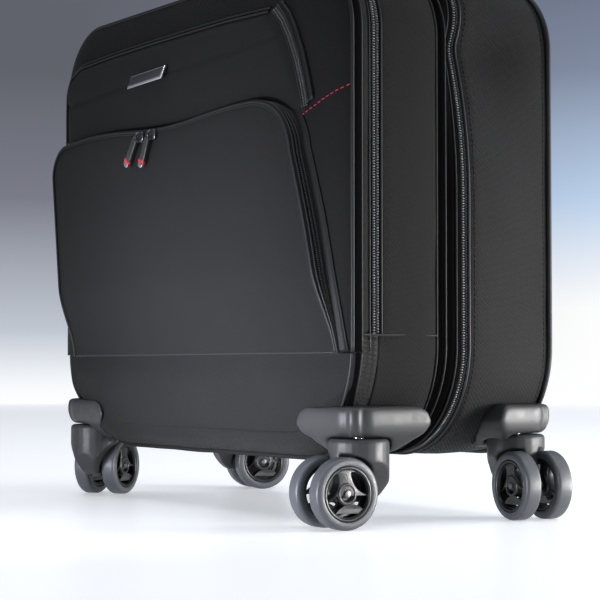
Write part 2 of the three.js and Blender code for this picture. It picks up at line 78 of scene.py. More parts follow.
BODY_LOW, BODY_HIGH = case_box("rear_shell")
HALF = (BODY_HIGH[0] - BODY_LOW[0]) / 2
BOTTOM, TOP = BODY_LOW[2], BODY_HIGH[2]
MAIN_ZIP = BODY_LOW[1] - 1.0
ZIP_LOW, ZIP_HIGH = case_box("laptop_zipper")
LAPTOP_ZIP, LAPTOP_ZIP_END = (ZIP_LOW[1] + ZIP_HIGH[1]) / 2, ZIP_LOW[2]
ZIP_EDGE = LAPTOP_ZIP + 1.4  # front edge of the cloth behind the laptop zipper
FLAP_LOW, FLAP_HIGH = case_box("pocket_flap")
SEAM, POCKET_TOP = FLAP_LOW[2] - 1.0, FLAP_HIGH[2] + 1.0
POCKET_LEFT, POCKET_RIGHT, POCKET_FRONT = FLAP_LOW[0], FLAP_HIGH[0], FLAP_LOW[1]
POCKET_LOW_LEFT = POCKET_LEFT + 20.0
SHOULDER_X, SHOULDER_Z, SHOULDER_END = 108.0, 264.0, 158.5  # the pocket's upper right corner
WHEEL_RADIUS = case_box("tyre_front_right_a")[1][2] / 2
RIM = 18.8  # radius at which a tyre meets its wheel's centre


# ---------------------------------------------------------------- small helpers

def smooth(a, b, x):
    """0 below a, 1 above b, and a smooth step between."""
    t = np.clip((np.asarray(x, float) - a) / (b - a), 0, 1)
    return t * t * (3 - 2 * t)


def ripple(point, scale, seed=0.0):
    """Low, even noise between about -1 and 1 at a point in millimetres."""
    return noise.noise(Vector((point[0], point[1], point[2])) / scale + Vector((seed, 0, 0)))


def unit(v):
    """The same directions, one unit long."""
    v = np.asarray(v, float)
    return v / np.maximum(np.linalg.norm(v, axis=-1, keepdims=True), 1e-9)


def distances(path):
    """Length along a path at each of its points."""
    return np.concatenate([[0], np.cumsum(np.linalg.norm(np.diff(path, axis=0), axis=1))])


def at_angle(radius, angle):
    return radius * np.array((math.cos(angle), math.sin(angle)))


def to_row(points):
    """Case millimetres as the row frame's metres."""
    return (np.asarray(points, float) + CENTRE) * MM


def new_object(name, points, faces, material, uvs=None, flat=False):
    """An object from points in millimetres; uvs is one (u, v) per point, in millimetres."""
    mesh = bpy.data.meshes.new(name)
    mesh.from_pydata([tuple(p) for p in to_row(points)], [], faces)
    mesh.validate()
    mesh.materials.append(material)
    if uvs is not None:
        layer = mesh.uv_layers.new(name="weave")
        corner = np.zeros(len(mesh.loops), int)
        mesh.loops.foreach_get("vertex_index", corner)
        layer.data.foreach_set("uv", (np.asarray(uvs, float)[corner] * MM).ravel())
    mesh.polygons.foreach_set("use_smooth", [not flat] * len(mesh.polygons))
    obj = bpy.data.objects.new(name, mesh)
    bpy.context.scene.collection.objects.link(obj)
    return obj


def apply_modifiers(obj):
    """Replaces the object's mesh by what its modifiers make of it."""
    depsgraph = bpy.context.evaluated_depsgraph_get()
    mesh = bpy.data.meshes.new_from_object(obj.evaluated_get(depsgraph), depsgraph=depsgraph)
    obj.modifiers.clear()
    if obj.type == "MESH":
        obj.data = mesh
        return obj
    made = bpy.data.objects.new(obj.name, mesh)
    bpy.context.scene.collection.objects.link(made)
    name = obj.name
    bpy.data.objects.remove(obj)
    made.name = name
    return made


def shade_smooth(obj, sharp_angle=None):
    """Smooth shading, with sharp edges where faces meet at more than this many degrees."""
    obj.data.polygons.foreach_set("use_smooth", [True] * len(obj.data.polygons))
    if sharp_angle:
        obj.data.set_sharp_from_angle(angle=math.radians(sharp_angle))
    return obj


def only_material(obj, material):
    obj.data.materials.clear()
    obj.data.materials.append(material)


def modify(obj, kind, **settings):
    """Adds a modifier with these settings."""
    modifier = obj.modifiers.new(kind, kind)
    for key, value in settings.items():
        setattr(modifier, key, value)


def solidify(obj, thickness, offset=-1):
    """Gives a sheet this thickness, inwards, in millimetres."""
    modify(obj, "SOLIDIFY", thickness=thickness * MM, offset=offset, use_even_offset=True)
    return apply_modifiers(obj)


def cut(obj, *tools):
    """Cuts closed tools out of a closed object and removes them."""
    for tool in tools:
        modify(obj, "BOOLEAN", operation="DIFFERENCE", solver="EXACT", object=tool)
    apply_modifiers(obj)
    for tool in tools:
        bpy.data.objects.remove(tool)
    return obj


def grid(name, rows, material, uvs=None, loop=False, caps=False, flip=False):
    """A sheet through rows of points; loop joins each row's ends, caps closes first and last."""
    rows = np.asarray(rows, float)
    n, m = rows.shape[:2]
    faces = []
    across = m if loop else m - 1
    for i in range(n - 1):
        for j in range(across):
            k = (j + 1) % m
            quad = (i * m + j, i * m + k, (i + 1) * m + k, (i + 1) * m + j)
            faces.append(quad[::-1] if flip else quad)
    if caps:
        ends = [tuple(range(m))[::-1], tuple(range((n - 1) * m, n * m))]
        faces += [end[::-1] for end in ends] if flip else ends
    flat_uvs = None if uvs is None else np.asarray(uvs, float).reshape(-1, 2)
    return new_object(name, rows.reshape(-1, 3), faces, material, flat_uvs)


def path_frames(path, closed, up=None):
    """Tangent, side and normal at each point of a path, carried along without twisting."""
    path = np.asarray(path, float)
    if closed:
        tangents = unit(np.roll(path, -1, 0) - np.roll(path, 1, 0))
    else:
        tangents = unit(np.gradient(path, axis=0))
    if up is not None:
        normals = unit(np.broadcast_to(np.asarray(up, float), path.shape))
        sides = unit(np.cross(tangents, normals))
        return tangents, sides, np.cross(sides, tangents)
    normal = np.cross(tangents[0], (0.31, 0.47, 0.83))
    normals = []
    for tangent in tangents:
        normal = unit(normal - tangent * np.dot(normal, tangent))
        normals.append(normal)
    normals = np.array(normals)
    return tangents, np.cross(tangents, normals), normals


def tube(name, path, radius, material, closed=False, sides=10, up=None, flatten=1.0):
    """A cord of round or flattened section along a path."""
    _, side, normal = path_frames(path, closed, up)
    angles = np.linspace(0, TAU, sides, endpoint=False)
    radius = np.broadcast_to(np.asarray(radius, float), len(path))
    rows = [
        p + r * (np.cos(angles)[:, None] * s + flatten * np.sin(angles)[:, None] * n)
        for p, r, s, n in zip(path, radius, side, normal)
    ]
    if closed:
        rows.append(rows[0])
        return weld(grid(name, rows, material, loop=True))
    return grid(name, rows, material, loop=True, caps=True)


def weld(obj):
    """Merges points that lie on each other."""
    modify(obj, "WELD", merge_threshold=2e-6)
    return apply_modifiers(obj)


def resample(path, step, closed=False):
    """The path at even spacing along its length."""
    path = np.asarray(path, float)
    if closed:
        path = np.vstack([path, path[:1]])
    length = distances(path)
    count = max(2, int(round(length[-1] / step)) + 1)
    at = np.linspace(0, length[-1], count)
    out = np.stack([np.interp(at, length, path[:, k]) for k in range(path.shape[1])], axis=1)
    return out[:-1] if closed else out


def copies(name, frames, shape, faces, material):
    """Many small copies of one shape in one mesh; frames are (origin, x, y, z) in millimetres."""
    points, polygons = [], []
    for index, (origin, x, y, z) in enumerate(frames):
        points.append(origin + shape @ np.array([x, y, z]))
        polygons += [tuple(v + index * len(shape) for v in face) for face in faces]
    return new_object(name, np.vstack(points), polygons, material)


def capsule(length, radius, sides=6):
    """A short rod with rounded ends along X."""
    inner = length / 2 - radius
    stations = [(-length / 2, 0.35), (-inner, 0.9), (0, 1), (inner, 0.9), (length / 2, 0.35)]
    points = [
        (x, radius * k * math.cos(a), radius * k * math.sin(a))
        for x, k in stations
        for a in np.linspace(0, TAU, sides, endpoint=False)
    ]
    faces = [
        (r + s, r + (s + 1) % sides, r + sides + (s + 1) % sides, r + sides + s)
        for r in range(0, (len(stations) - 1) * sides, sides)
        for s in range(sides)
    ]
    faces.append(tuple(range(sides))[::-1])
    faces.append(tuple(range((len(stations) - 1) * sides, len(stations) * sides)))
    return np.array(points), faces


def coil(name, path, up, width, pitch, closed=False, phase=0.0, radius=0.62):
    """Zipper teeth across a path, lying against the surface whose normal is up."""
    stations = resample(np.hstack([path, up]), pitch, closed)
    points, normals = stations[:, :3], unit(stations[:, 3:])
    shape, faces = capsule(width, radius)
    frames = [(p + t * phase * pitch, s, t, n)
              for p, t, s, n in zip(points, *path_frames(points, closed, normals))]
    return copies(name, frames, shape, faces, TEETH)


def stitches(name, path, up, material, length=3.2, gap=1.8, radius=0.32, lift=0.15):
    """A row of sewn stitches along a path, half sunk in the surface whose normal is up."""
    up = np.broadcast_to(np.asarray(up, float), path.shape)
    stations = resample(np.hstack([path, up]), length + gap)
    points, normals = stations[:, :3], unit(stations[:, 3:])
    shape, faces = capsule(length, radius)
    frames = [(p + n * lift, t, s, n)
              for p, t, s, n in zip(points, *path_frames(points, False, normals))]
    return copies(name, frames, shape, faces, material)


def block(name, x, y, z):
    """A box between two values on each axis, for cutting with."""
    points = [(a, b, c) for a in x for b in y for c in z]
    faces = [(0, 1, 3, 2), (4, 6, 7, 5), (0, 4, 5, 1), (2, 3, 7, 6), (0, 2, 6, 4), (1, 5, 7, 3)]
    return new_object(name, points, faces, BLANK, flat=True)


def turned(name, profile, axis, origin, material, sides=64):
    """A (radius, along) profile turned about an axis. It ends on the axis or where it starts."""
    axis = unit(axis)
    across = unit(np.cross(axis, (0.0, 0.0, 1.0) if abs(axis[2]) < 0.9 else (1.0, 0.0, 0.0)))
    third = np.cross(axis, across)
    angles = np.linspace(0, TAU, sides, endpoint=False)
    ring = np.cos(angles)[:, None] * across + np.sin(angles)[:, None] * third
    rows = [np.asarray(origin) + max(r, 0.01) * ring + along * axis for r, along in profile]
    closed = profile[0] == profile[-1]
    obj = grid(name, rows, material, loop=True, caps=not closed)
    return weld(obj) if closed else obj


def outline_solid(name, outlines, depth, bevel, material, place, segments=3):
    """A plate from flat outlines (the first is the rim, the rest are holes), with rounded edges.

    place is a 4x4 matrix from the plate's own millimetres (X, Y in its plane) to the case's.
    """
    data = bpy.data.curves.new(name, "CURVE")
    data.dimensions = "2D"
    data.fill_mode = "BOTH"
    data.extrude = depth / 2 - bevel
    data.bevel_depth = bevel
    data.bevel_resolution = segments
    data.offset = -bevel
    for outline in outlines:
        spline = data.splines.new("POLY")
        spline.points.add(len(outline) - 1)
        spline.points.foreach_set("co", np.array([(x, y, 0, 1) for x, y in outline]).ravel())
        spline.use_cyclic_u = True
    obj = bpy.data.objects.new(name, data)
    bpy.context.scene.collection.objects.link(obj)
    obj = apply_modifiers(obj)
    obj.data.transform(place)
    points = np.zeros(len(obj.data.vertices) * 3)
    obj.data.vertices.foreach_get("co", points)
    obj.data.vertices.foreach_set("co", to_row(points.reshape(-1, 3)).ravel())
    weld(obj)
    only_material(obj, material)
    return shade_smooth(obj, 40)


def stand(origin, x, y):
    """Matrix that carries a plate's X and Y to the given directions at an origin."""
    x, y = unit(x), unit(y)
    z = np.cross(x, y)
    matrix = np.eye(4)
    matrix[:3, 0], matrix[:3, 1], matrix[:3, 2], matrix[:3, 3] = x, y, z, origin
    return Matrix(matrix.tolist())


# ---------------------------------------------------------------- materials

class Nodes:
    """Adds shader nodes and links with little writing."""

    def __init__(self, name, color, roughness, metallic=0.0, specular=0.5):
        self.material = bpy.data.materials.new(name)
        self.material.use_nodes = True
        self.tree = self.material.node_tree
        self.shader = self.tree.nodes["Principled BSDF"]
        self.set(self.shader, "Base Color", (*color, 1))
        self.set(self.shader, "Roughness", roughness)
        self.set(self.shader, "Metallic", metallic)
        self.set(self.shader, "Specular IOR Level", specular)

    def set(self, node, socket, value):
        """Links a socket's value, or sets it."""
        target = node.inputs[socket]
        if isinstance(value, bpy.types.NodeSocket):
            self.tree.links.new(value, target)
        else:
            target.default_value = value

    def add(self, kind, output=0, **inputs):
        """A new node's output; i0, i1 and so on are its numbered inputs."""
        node = self.tree.nodes.new(kind)
        for key, value in inputs.items():
            if hasattr(node, key):
                setattr(node, key, value)
            else:
                self.set(node, int(key[1:]) if key[0] == "i" and key[1:].isdigit() else key, value)
        return node.outputs[output]

    def math(self, operation, a, b=0.0, c=0.0):
        return self.add("ShaderNodeMath", operation=operation, i0=a, i1=b, i2=c)

    def noise(self, vector, scale, detail=4.0, roughness=0.55):
        return self.add(
            "ShaderNodeTexNoise", Vector=vector, Scale=scale, Detail=detail, Roughness=roughness
        )

    def object_space(self):
        return self.add("ShaderNodeTexCoord", output=3)

    def mix(self, factor, a, b):
        """Colour mixed from a to b."""
        node = self.tree.nodes.new("ShaderNodeMix")
        node.data_type = "RGBA"
        self.set(node, 0, factor)
        self.set(node, 6, a if not isinstance(a, tuple) else (*a, 1))
        self.set(node, 7, b if not isinstance(b, tuple) else (*b, 1))
        return node.outputs[2]

    def scale_range(self, value, low, high, source=(0.0, 1.0)):
        """A value carried from the source's range to the one from low to high."""
        node = self.tree.nodes.new("ShaderNodeMapRange")
        for key, number in zip(("From Min", "From Max", "To Min", "To Max"), (*source, low, high)):
            node.inputs[key].default_value = number
        self.set(node, "Value", value)
        return node.outputs[0]

    def bump(self, height, distance):
        """Gives the surface relief; a height of 1 stands this many millimetres out."""
        relief = self.add("ShaderNodeBump", Distance=distance * MM, Strength=1.0, Height=height)
        self.set(self.shader, "Normal", relief)


def tinted(color, factor):
    return tuple(c * factor for c in color)


def woven(name, color, thread, relief, roughness=0.8, contrast=0.3, sheen=0.02):
    """Twill-woven cloth: threads pass over two and under two, one step further each row. Its colour holds
    painted shade: lighter on raised threads, darker in the hollows between them.
    """
    n = Nodes(name, color, roughness, specular=0.10)
    n.set(n.shader, "Sheen Weight", sheen)
    n.set(n.shader, "Sheen Roughness", 0.5)
    uv = n.tree.nodes.new("ShaderNodeUVMap")
    uv.uv_map = "weave"
    split = n.tree.nodes.new("ShaderNodeSeparateXYZ")
    n.set(split, 0, uv.outputs[0])
    u = n.math("DIVIDE", split.outputs[0], thread * MM)
    v = n.math("DIVIDE", split.outputs[1], thread * MM)
    step = n.math("ADD", n.math("FLOOR", u), n.math("FLOOR", v))
    over = n.math("LESS_THAN", n.math("FRACT", n.math("DIVIDE", step, 4.0)), 0.5)
    warp = n.math("ABSOLUTE", n.math("SINE", n.math("MULTIPLY", u, math.pi)))
    weft = n.math("ABSOLUTE", n.math("SINE", n.math("MULTIPLY", v, math.pi)))
    under = n.math("MULTIPLY", n.math("SUBTRACT", 1.0, over), 0.8)
    height = n.math("ADD", n.math("MULTIPLY", warp, over), n.math("MULTIPLY", weft, under))
    space = n.object_space()
    blotch = n.noise(space, 9.0, 3.0)
    fuzz = n.noise(space, 900.0, 2.0)
    # Painted shade: colour lighter where threads stand up and darker in the hollows, mixed with random
    # fuzz.
    tone = n.math("ADD", n.math("MULTIPLY", height, 0.75), n.math("MULTIPLY", fuzz, 0.25))
    dark, light = tinted(color, 1 - contrast), tinted(color, 1 + contrast)
    # Random lighter patches of wear, laid over the painted thread shade.
    shade_and_wear = n.mix(n.scale_range(blotch, 0.0, 0.35, (0.35, 0.7)), n.mix(tone, dark, light), light)
    n.set(n.shader, "Base Color", shade_and_wear)
    n.set(n.shader, "Roughness", n.scale_range(tone, roughness + 0.08, roughness - 0.08))
    n.bump(n.math("ADD", height, n.math("MULTIPLY", fuzz, 0.4)), relief)
    return n.material


def plain_cloth(name, color, roughness=0.75, grain=0.06, scale=700.0, specular=0.4):
    """Close-woven tape, cord or thread, with fine grain instead of a countable weave."""
    n = Nodes(name, color, roughness, specular=specular)
    fine = n.noise(n.object_space(), scale, 3.0)
    n.set(n.shader, "Base Color", n.mix(fine, tinted(color, 0.7), tinted(color, 1.35)))
    n.bump(fine, grain)
    return n.material


def moulded(name, color, roughness, grain=0.035, scale=1400.0, wear=0.12, specular=0.5):
    """Moulded plastic with a fine spark texture, slight tone changes and scuffed roughness."""
    n = Nodes(name, color, roughness, specular=specular)
    space = n.object_space()
    fine = n.noise(space, scale, 2.0)
    broad = n.noise(space, 22.0, 4.0)
    scuff = n.noise(space, 160.0, 6.0, 0.7)
    patches = n.scale_range(broad, 0.0, 1.0, (0.3, 0.7))
    mottled = n.mix(patches, tinted(color, 1 - wear), tinted(color, 1 + wear))
    n.set(n.shader, "Base Color", mottled)
    scuffed = n.scale_range(scuff, roughness - 0.07, roughness + 0.09, (0.3, 0.7))
    n.set(n.shader, "Roughness", scuffed)
    n.bump(fine, grain)
    return n.material


def metal(name, color, roughness):
    """Metal with a fine, uneven polish."""
    n = Nodes(name, color, roughness, metallic=1.0)
    fine = n.noise(n.object_space(), 900.0, 3.0)
    uneven = n.scale_range(fine, roughness - 0.05, roughness + 0.1, (0.3, 0.7))
    n.set(n.shader, "Roughness", uneven)
    n.bump(fine, 0.01)
    return n.material


BLANK = bpy.data.materials.new("blank")
NYLON = woven("ballistic_nylon", (0.0074, 0.0074, 0.0077), 0.85, 0.30, 0.66, 0.75)
# A darker copy of the ballistic nylon, painted shade: the front panel and the front tub's wall are the
# same cloth as the lower front, made darker where less light falls.
SHADED_NYLON = woven("shaded_nylon", (0.0036, 0.0036, 0.0038), 0.85, 0.30, 0.70, 0.8)
POCKET_NYLON = woven("pocket_nylon", (0.0072, 0.0072, 0.0077), 0.6, 0.22, 0.72, 0.5)
LINING = woven("lining", (0.075, 0.077, 0.086), 0.5, 0.1, 0.8, 0.2)
TAPE = plain_cloth("zipper_tape", (0.0015, 0.0015, 0.0017), 0.9, specular=0.02)
TEETH = moulded("coil_teeth", (0.030, 0.030, 0.031), 0.34, 0.01, wear=0.05)
PIPING = plain_cloth("piping", (0.012, 0.012, 0.013), 0.5, 0.05, 900.0, 0.2)
BINDING = plain_cloth("binding", (0.0055, 0.0055, 0.006), 0.6, 0.07, 800.0, 0.18)
RED_THREAD = plain_cloth("red_thread", (0.30, 0.008, 0.030), 0.6, 0.04)
BLACK_THREAD = plain_cloth("black_thread", (0.004, 0.004, 0.004), 0.7, 0.04, specular=0.1)
GUARD = moulded("guard_plastic", (0.022, 0.0224, 0.0238), 0.46, specular=0.32)
HUB = moulded("hub_plastic", (0.007, 0.0072, 0.0078), 0.32)
TYRE = moulded("tyre_rubber", (0.052, 0.0554, 0.064), 0.42, 0.02)
BLACK_PLASTIC = moulded("black_plastic", (0.010, 0.010, 0.011), 0.4)
PULL_BLACK = moulded("pull_black", (0.020, 0.020, 0.021), 0.4)
PULL_RED = moulded("pull_red", (0.42, 0.012, 0.018), 0.4)
STEEL = metal("steel", (0.56, 0.57, 0.59), 0.25)
ALUMINIUM = metal("aluminium", (0.66, 0.67, 0.70), 0.3)
GUNMETAL = metal("gunmetal", (0.13, 0.13, 0.14), 0.34)
BOARD = moulded("board", (0.02, 0.02, 0.02), 0.6)


# ---------------------------------------------------------------- the case's outline

def outline_points():
    """Points (x, z) round the case seen from the front, from the bottom's middle to its right
    and on round, with their outward normals."""
    points, normals = [], []

    def straight(a, b, normal, step=5.0):
        count = int(math.dist(a, b) / step)
        for t in np.linspace(0, 1, count, endpoint=False):
            points.append((a[0] + (b[0] - a[0]) * t, a[1] + (b[1] - a[1]) * t))
            normals.append(normal)

    def arc(cx, cz, radius, start, count=30):
        for t in np.linspace(0, 1, count, endpoint=False):
            angle = start + t * math.pi / 2
            normal = (math.cos(angle), math.sin(angle))
            points.append((cx + radius * normal[0], cz + radius * normal[1]))
            normals.append(normal)

    rb, rt, x, z0, z1 = BOTTOM_RADIUS, TOP_RADIUS, HALF, BOTTOM, TOP
    straight((0, z0), (x - rb, z0), (0, -1))
    arc(x - rb, z0 + rb, rb, -math.pi / 2)
    straight((x, z0 + rb), (x, z1 - rt), (1, 0))
    arc(x - rt, z1 - rt, rt, 0)
    straight((x - rt, z1), (-x + rt, z1), (0, 1))
    arc(-x + rt, z1 - rt, rt, math.pi / 2)
    straight((-x, z1 - rt), (-x, z0 + rb), (-1, 0))
    arc(-x + rb, z0 + rb, rb, math.pi)
    straight((-x + rb, z0), (0, z0), (0, -1))
    return np.array(points), np.array(normals)


OUTLINE, NORMALS = outline_points()
STEPS = np.linalg.norm(np.roll(OUTLINE, -1, 0) - OUTLINE, axis=1)
RUN = np.concatenate([[0], np.cumsum(STEPS)[:-1]])


def side_sag(z, y):
    """How far the soft sides fall in near the top, behind the front compartment."""
    rise = np.clip(np.asarray(z, float) - 235, 0, None)
    back_to_full = 1 - smooth(335, 392, z)
    return np.minimum(rise**2 / 712, 17.0) * back_to_full * smooth(-9, 4, y) * (1 - smooth(30, 86, y))


def wrap(y, inset=0.0, wrinkle=0.0, seed=0.0):
    """One ring of points round the case at depth y, this far inside its outline.
    y and inset are numbers or one value for each point of the outline."""
    y = np.broadcast_to(np.asarray(y, float), len(OUTLINE))
    inset = inset + side_sag(OUTLINE[:, 1], y) * np.abs(NORMALS[:, 0])
    if wrinkle:
        at = [(px, py, pz) for (px, pz), py in zip(OUTLINE, y)]
        folds = [ripple(p, 55, seed) + 0.35 * ripple(p, 17, seed) for p in at]
        inset = inset - wrinkle * np.array(folds)
    flat = OUTLINE - NORMALS * np.asarray(inset)[:, None]
    return np.stack([flat[:, 0], y, flat[:, 1]], axis=1)


RING_UP = np.stack([NORMALS[:, 0], np.zeros(len(NORMALS)), NORMALS[:, 1]], axis=1)


def closed(rows):
    """Rows of points, each ending where it starts."""
    return np.concatenate([rows, rows[:, :1]], axis=1)


def loft(name, sections, material, wrinkle=0.6, seed=0.0):
    """Cloth round the case through (y, inset) sections, with the weave running round it."""
    rows = closed(np.array([wrap(y, inset, wrinkle, seed) for y, inset in sections]))
    across = distances([(np.mean(y), np.mean(inset)) for y, inset in sections])
    along = np.append(RUN, RUN[-1] + STEPS[-1])
    uvs = np.array([[(u, v) for u in along] for v in across])
    return weld(grid(name, rows, material, uvs, flip=True))


def above(ring, up, z, margin=0.0):
    """The open run of a ring over the top of the case between both sides at height z."""
    high = OUTLINE[:, 1] > z + margin + 2
    start = np.argmax(high & (OUTLINE[:, 0] > 0))
    stop = len(ring) - np.argmax((high & (OUTLINE[:, 0] < 0))[::-1])
    points, normals = ring[start:stop], up[start:stop]

    def end_at(inner, outer):
        t = (z + margin - outer[2]) / (inner[2] - outer[2])
        return outer + (inner - outer) * t

    first = end_at(ring[start], ring[start - 1])
    last = end_at(ring[stop - 1], ring[stop])
    return np.vstack([first, points, last]), np.vstack([normals[:1], normals, normals[-1:]])


def lower_ring(y, inset, top, count=150):
    """A ring round the bottom of the case from the left side at height top to the right side.
    y and inset are one value for each point of the outline."""
    quarter = (OUTLINE[:, 0] >= 0) & (OUTLINE[:, 1] < 200)
    flat = OUTLINE - NORMALS * inset[:, None]
    half = np.stack([flat[:, 0], y, flat[:, 1]], axis=1)[quarter]
    half = half[np.argsort(RUN[quarter])]
    stop = np.argmax(half[:, 2] > top)
    t = (top - half[stop - 1, 2]) / (half[stop, 2] - half[stop - 1, 2])
    half = np.vstack([half[:stop], half[stop - 1] + (half[stop] - half[stop - 1]) * t])
    length = distances(half)
    at = np.linspace(0, length[-1], count // 2)
    half = np.stack([np.interp(at, length, half[:, k]) for k in range(3)], axis=1)
    return np.vstack([half[::-1] * (-1, 1, 1), half[1:]])


# ---------------------------------------------------------------- flat cloth with any edge

def inside_distance(points, polygon):
    """Distance of points (x, z) to a closed outline, positive inside it."""
    points = np.asarray(points, float).reshape(-1, 2)
    a, b = polygon, np.roll(polygon, -1, 0)
    edge = b - a
    best = np.full(len(points), 1e9)
    inside = np.zeros(len(points), bool)
    for (ax, az), (_, bz), (ex, ez) in zip(a, b, edge):
        along = (points[:, 0] - ax) * ex + (points[:, 1] - az) * ez
        t = np.clip(along / max(ex * ex + ez * ez, 1e-9), 0, 1)
        best = np.minimum(best, np.hypot(points[:, 0] - ax - t * ex, points[:, 1] - az - t * ez))
        if az != bz:
            cross = ax + (points[:, 1] - az) * ex / (bz - az)
            inside ^= ((az > points[:, 1]) != (bz > points[:, 1])) & (points[:, 0] < cross)
    return np.where(inside, best, -best)


def offset_outline(polygon, distance):
    """A closed anticlockwise outline moved inwards."""
    ahead, behind = np.roll(polygon, -1, 0), np.roll(polygon, 1, 0)
    tangent = unit(ahead - behind)
    return polygon + distance * np.stack([-tangent[:, 1], tangent[:, 0]], axis=1)


def flat_cloth(name, polygon, height, material, spacing=4.0, edge_rows=(1.0, 2.4, 4.5)):
    """Cloth facing the front inside a closed (x, z) outline, at y = height(points)."""
    polygon = np.asarray(polygon, float)
    rims = [polygon]
    for distance in edge_rows:
        row = offset_outline(polygon, distance)
        rims.append(row[np.abs(inside_distance(row, polygon) - distance) < 0.3])
    lowest, highest = polygon.min(0), polygon.max(0)
    xs = np.arange(lowest[0], highest[0] + spacing, spacing)
    zs = np.arange(lowest[1], highest[1] + spacing, spacing * 0.87)
    lattice = np.array([(x + row % 2 * spacing / 2, z) for row, z in enumerate(zs) for x in xs])
    lattice = lattice[inside_distance(lattice, polygon) > edge_rows[-1] + spacing * 0.5]
    cloud = np.vstack(rims + [lattice])
    rim = list(range(len(polygon)))
    points, _, faces, *_ = delaunay_2d_cdt([Vector(p) for p in cloud], [], [rim], 1, 1e-5)
    flat = np.array([tuple(p) for p in points])
    spread = np.stack([flat[:, 0], height(flat), flat[:, 1]], axis=1)
    return new_object(name, spread, [tuple(f) for f in faces], material, flat)


def facing_front(obj):
    """Turns the faces of flat cloth so that most of them look to the front."""
    if sum(face.normal.y * face.area for face in obj.data.polygons) > 0:
        obj.data.flip_normals()
    return obj


# ---------------------------------------------------------------- front face shapes

def pocket_edge(spacing=2.5):
    """The lower pocket's zipped edge: up its left side, over its dipping top, down its right."""
    radius = 24.0
    corner = [(POCKET_LEFT + radius * (1 - math.cos(a)), POCKET_TOP - radius * (1 - math.sin(a)))
              for a in np.linspace(0, math.pi / 2, 14)]
    top = [(x, POCKET_TOP) for x in np.linspace(corner[-1][0], SHOULDER_X, 40)[1:]]
    a, b, c = np.array([(SHOULDER_X, POCKET_TOP), (SHOULDER_END - 5, POCKET_TOP - 2),
                        (SHOULDER_END, SHOULDER_Z)])
    curve = [tuple((1 - t) ** 2 * a + 2 * t * (1 - t) * b + t * t * c)
             for t in np.linspace(0, 1, 20)[1:]]
    lower = [(SHOULDER_END + (POCKET_RIGHT - SHOULDER_END) * t + 3.5 * math.sin(math.pi * t),
              SHOULDER_Z + (SEAM - SHOULDER_Z) * t) for t in np.linspace(0, 1, 24)[1:]]
    points = np.array([(POCKET_LOW_LEFT, SEAM)] + corner + top + curve + lower)
    dip = -2.6 * np.cos(TAU * (points[:, 0] + 18) / 223) * smooth(250, 296, points[:, 1])
    points[:, 1] += dip
    return resample(points, spacing)


def upper_edge():
    """The upper pocket's outline, anticlockwise from its lower left."""
    points = [(-204, 300), (-140, 299), (-60, 299), (40, 299), (100, 301), (144, 287), (161, 293),
              (157, 310), (148, 335), (137, 357), (129, 368), (116, 374.5), (60, 376.5), (-60, 376.5),
              (-120, 375.5), (-172, 373.5), (-192, 367), (-202, 354), (-204.5, 338)]
    return resample(np.array(points, float), 3.0, closed=True)


def level_line(start, end, z, count=108):
    """Points (x, z) between two ends at one height, without the ends."""
    return np.stack([np.linspace(start, end, count + 2)[1:-1], np.full(count, z)], axis=1)


EDGE = pocket_edge()
UPPER = upper_edge()
FLAP_LEAN = 11.5  # how far the lower pocket's face leans in at its bottom


def crown_at(points):
    """How far the front panel stands out from the plane of its piping."""
    return 5.5 * (1 - np.exp(-np.clip(inside_distance(points, OUTLINE[::2]), 0, None) / 8))


def swelling(points, y, broad, fine, seed, share=0.4):
    """Uneven fullness of a cloth: broad waves and a share of finer ones."""
    return np.array([ripple((x, y, z), broad, seed) + share * ripple((x, y, z), fine, seed + 2.0)
                     for x, z in points])


def panel_height(points):
    """The front panel's face: crowned, and a little uneven."""
    return FRONT - crown_at(points) - 0.6 * swelling(points, 0, 70, 23, 2.0)


def on_panel(line, lift):
    """A line (x, z) laid this far in front of the panel's face."""
    return np.stack([line[:, 0], panel_height(line) - lift, line[:, 1]], axis=1)


def upper_height(points):
    """The upper pocket's face: full at its middle, with a fold below its lid."""
    rise = smooth(0, 11, inside_distance(points, UPPER)) * (0.25 + 0.75 * smooth(288, 318, points[:, 1]))
    fold = 347 + 0.035 * points[:, 0]
    crease = np.exp(-(((points[:, 1] - fold) / 2.2) ** 2))
    lid = smooth(-1.5, 2.5, points[:, 1] - fold)
    return panel_height(points) - 0.6 - 4.0 * rise - (1.4 * lid - 1.5 * crease) * smooth(0, 18, rise * 18)


def flap_height(points):
    """The lower pocket's face: it leans in to the seam at the bottom, and is full in the middle."""
    inner = inside_distance(points, np.vstack([EDGE, EDGE[:1]]))
    lean = FLAP_LEAN * (1 - smooth(0, 60, points[:, 1] - SEAM))
    swell = swelling(points, 5, 80, 26, 7.0)
    return POCKET_FRONT + lean - 1.1 * smooth(0, 20, inner) - 0.7 * swell * smooth(0, 30, inner)


# ---------------------------------------------------------------- riding on the frame

CORNERS = ("front_right", "front_left", "rear_right", "rear_left")


def place(obj, body, *nodes, slot=None):
    """Puts a finished piece on its body, standing for these CAD nodes."""
    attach(obj, body)
    if nodes:
        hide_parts(*nodes)


def trim(obj, body):
    """Puts a tape, cord, coil or row of stitches on its body."""
    place(obj, body, slot="zipper_tape")


def line_cloth(obj, thickness=3.0):
    """Gives outer cloth its padding and an inner face of lining."""
    obj.data.materials.append(LINING)
    modify(obj, "SOLIDIFY", thickness=thickness * MM, offset=-1,
           material_offset=1, material_offset_rim=0)
    return apply_modifiers(obj)


def paint(obj, material, where):
    """Gives this material to the faces whose middle, in case millimetres, passes a test."""
    obj.data.materials.append(material)
    index = len(obj.data.materials) - 1
    for face in obj.data.polygons:
        if face.material_index == 0 and where(np.array(face.center) / MM - CENTRE):
            face.material_index = index
    return obj


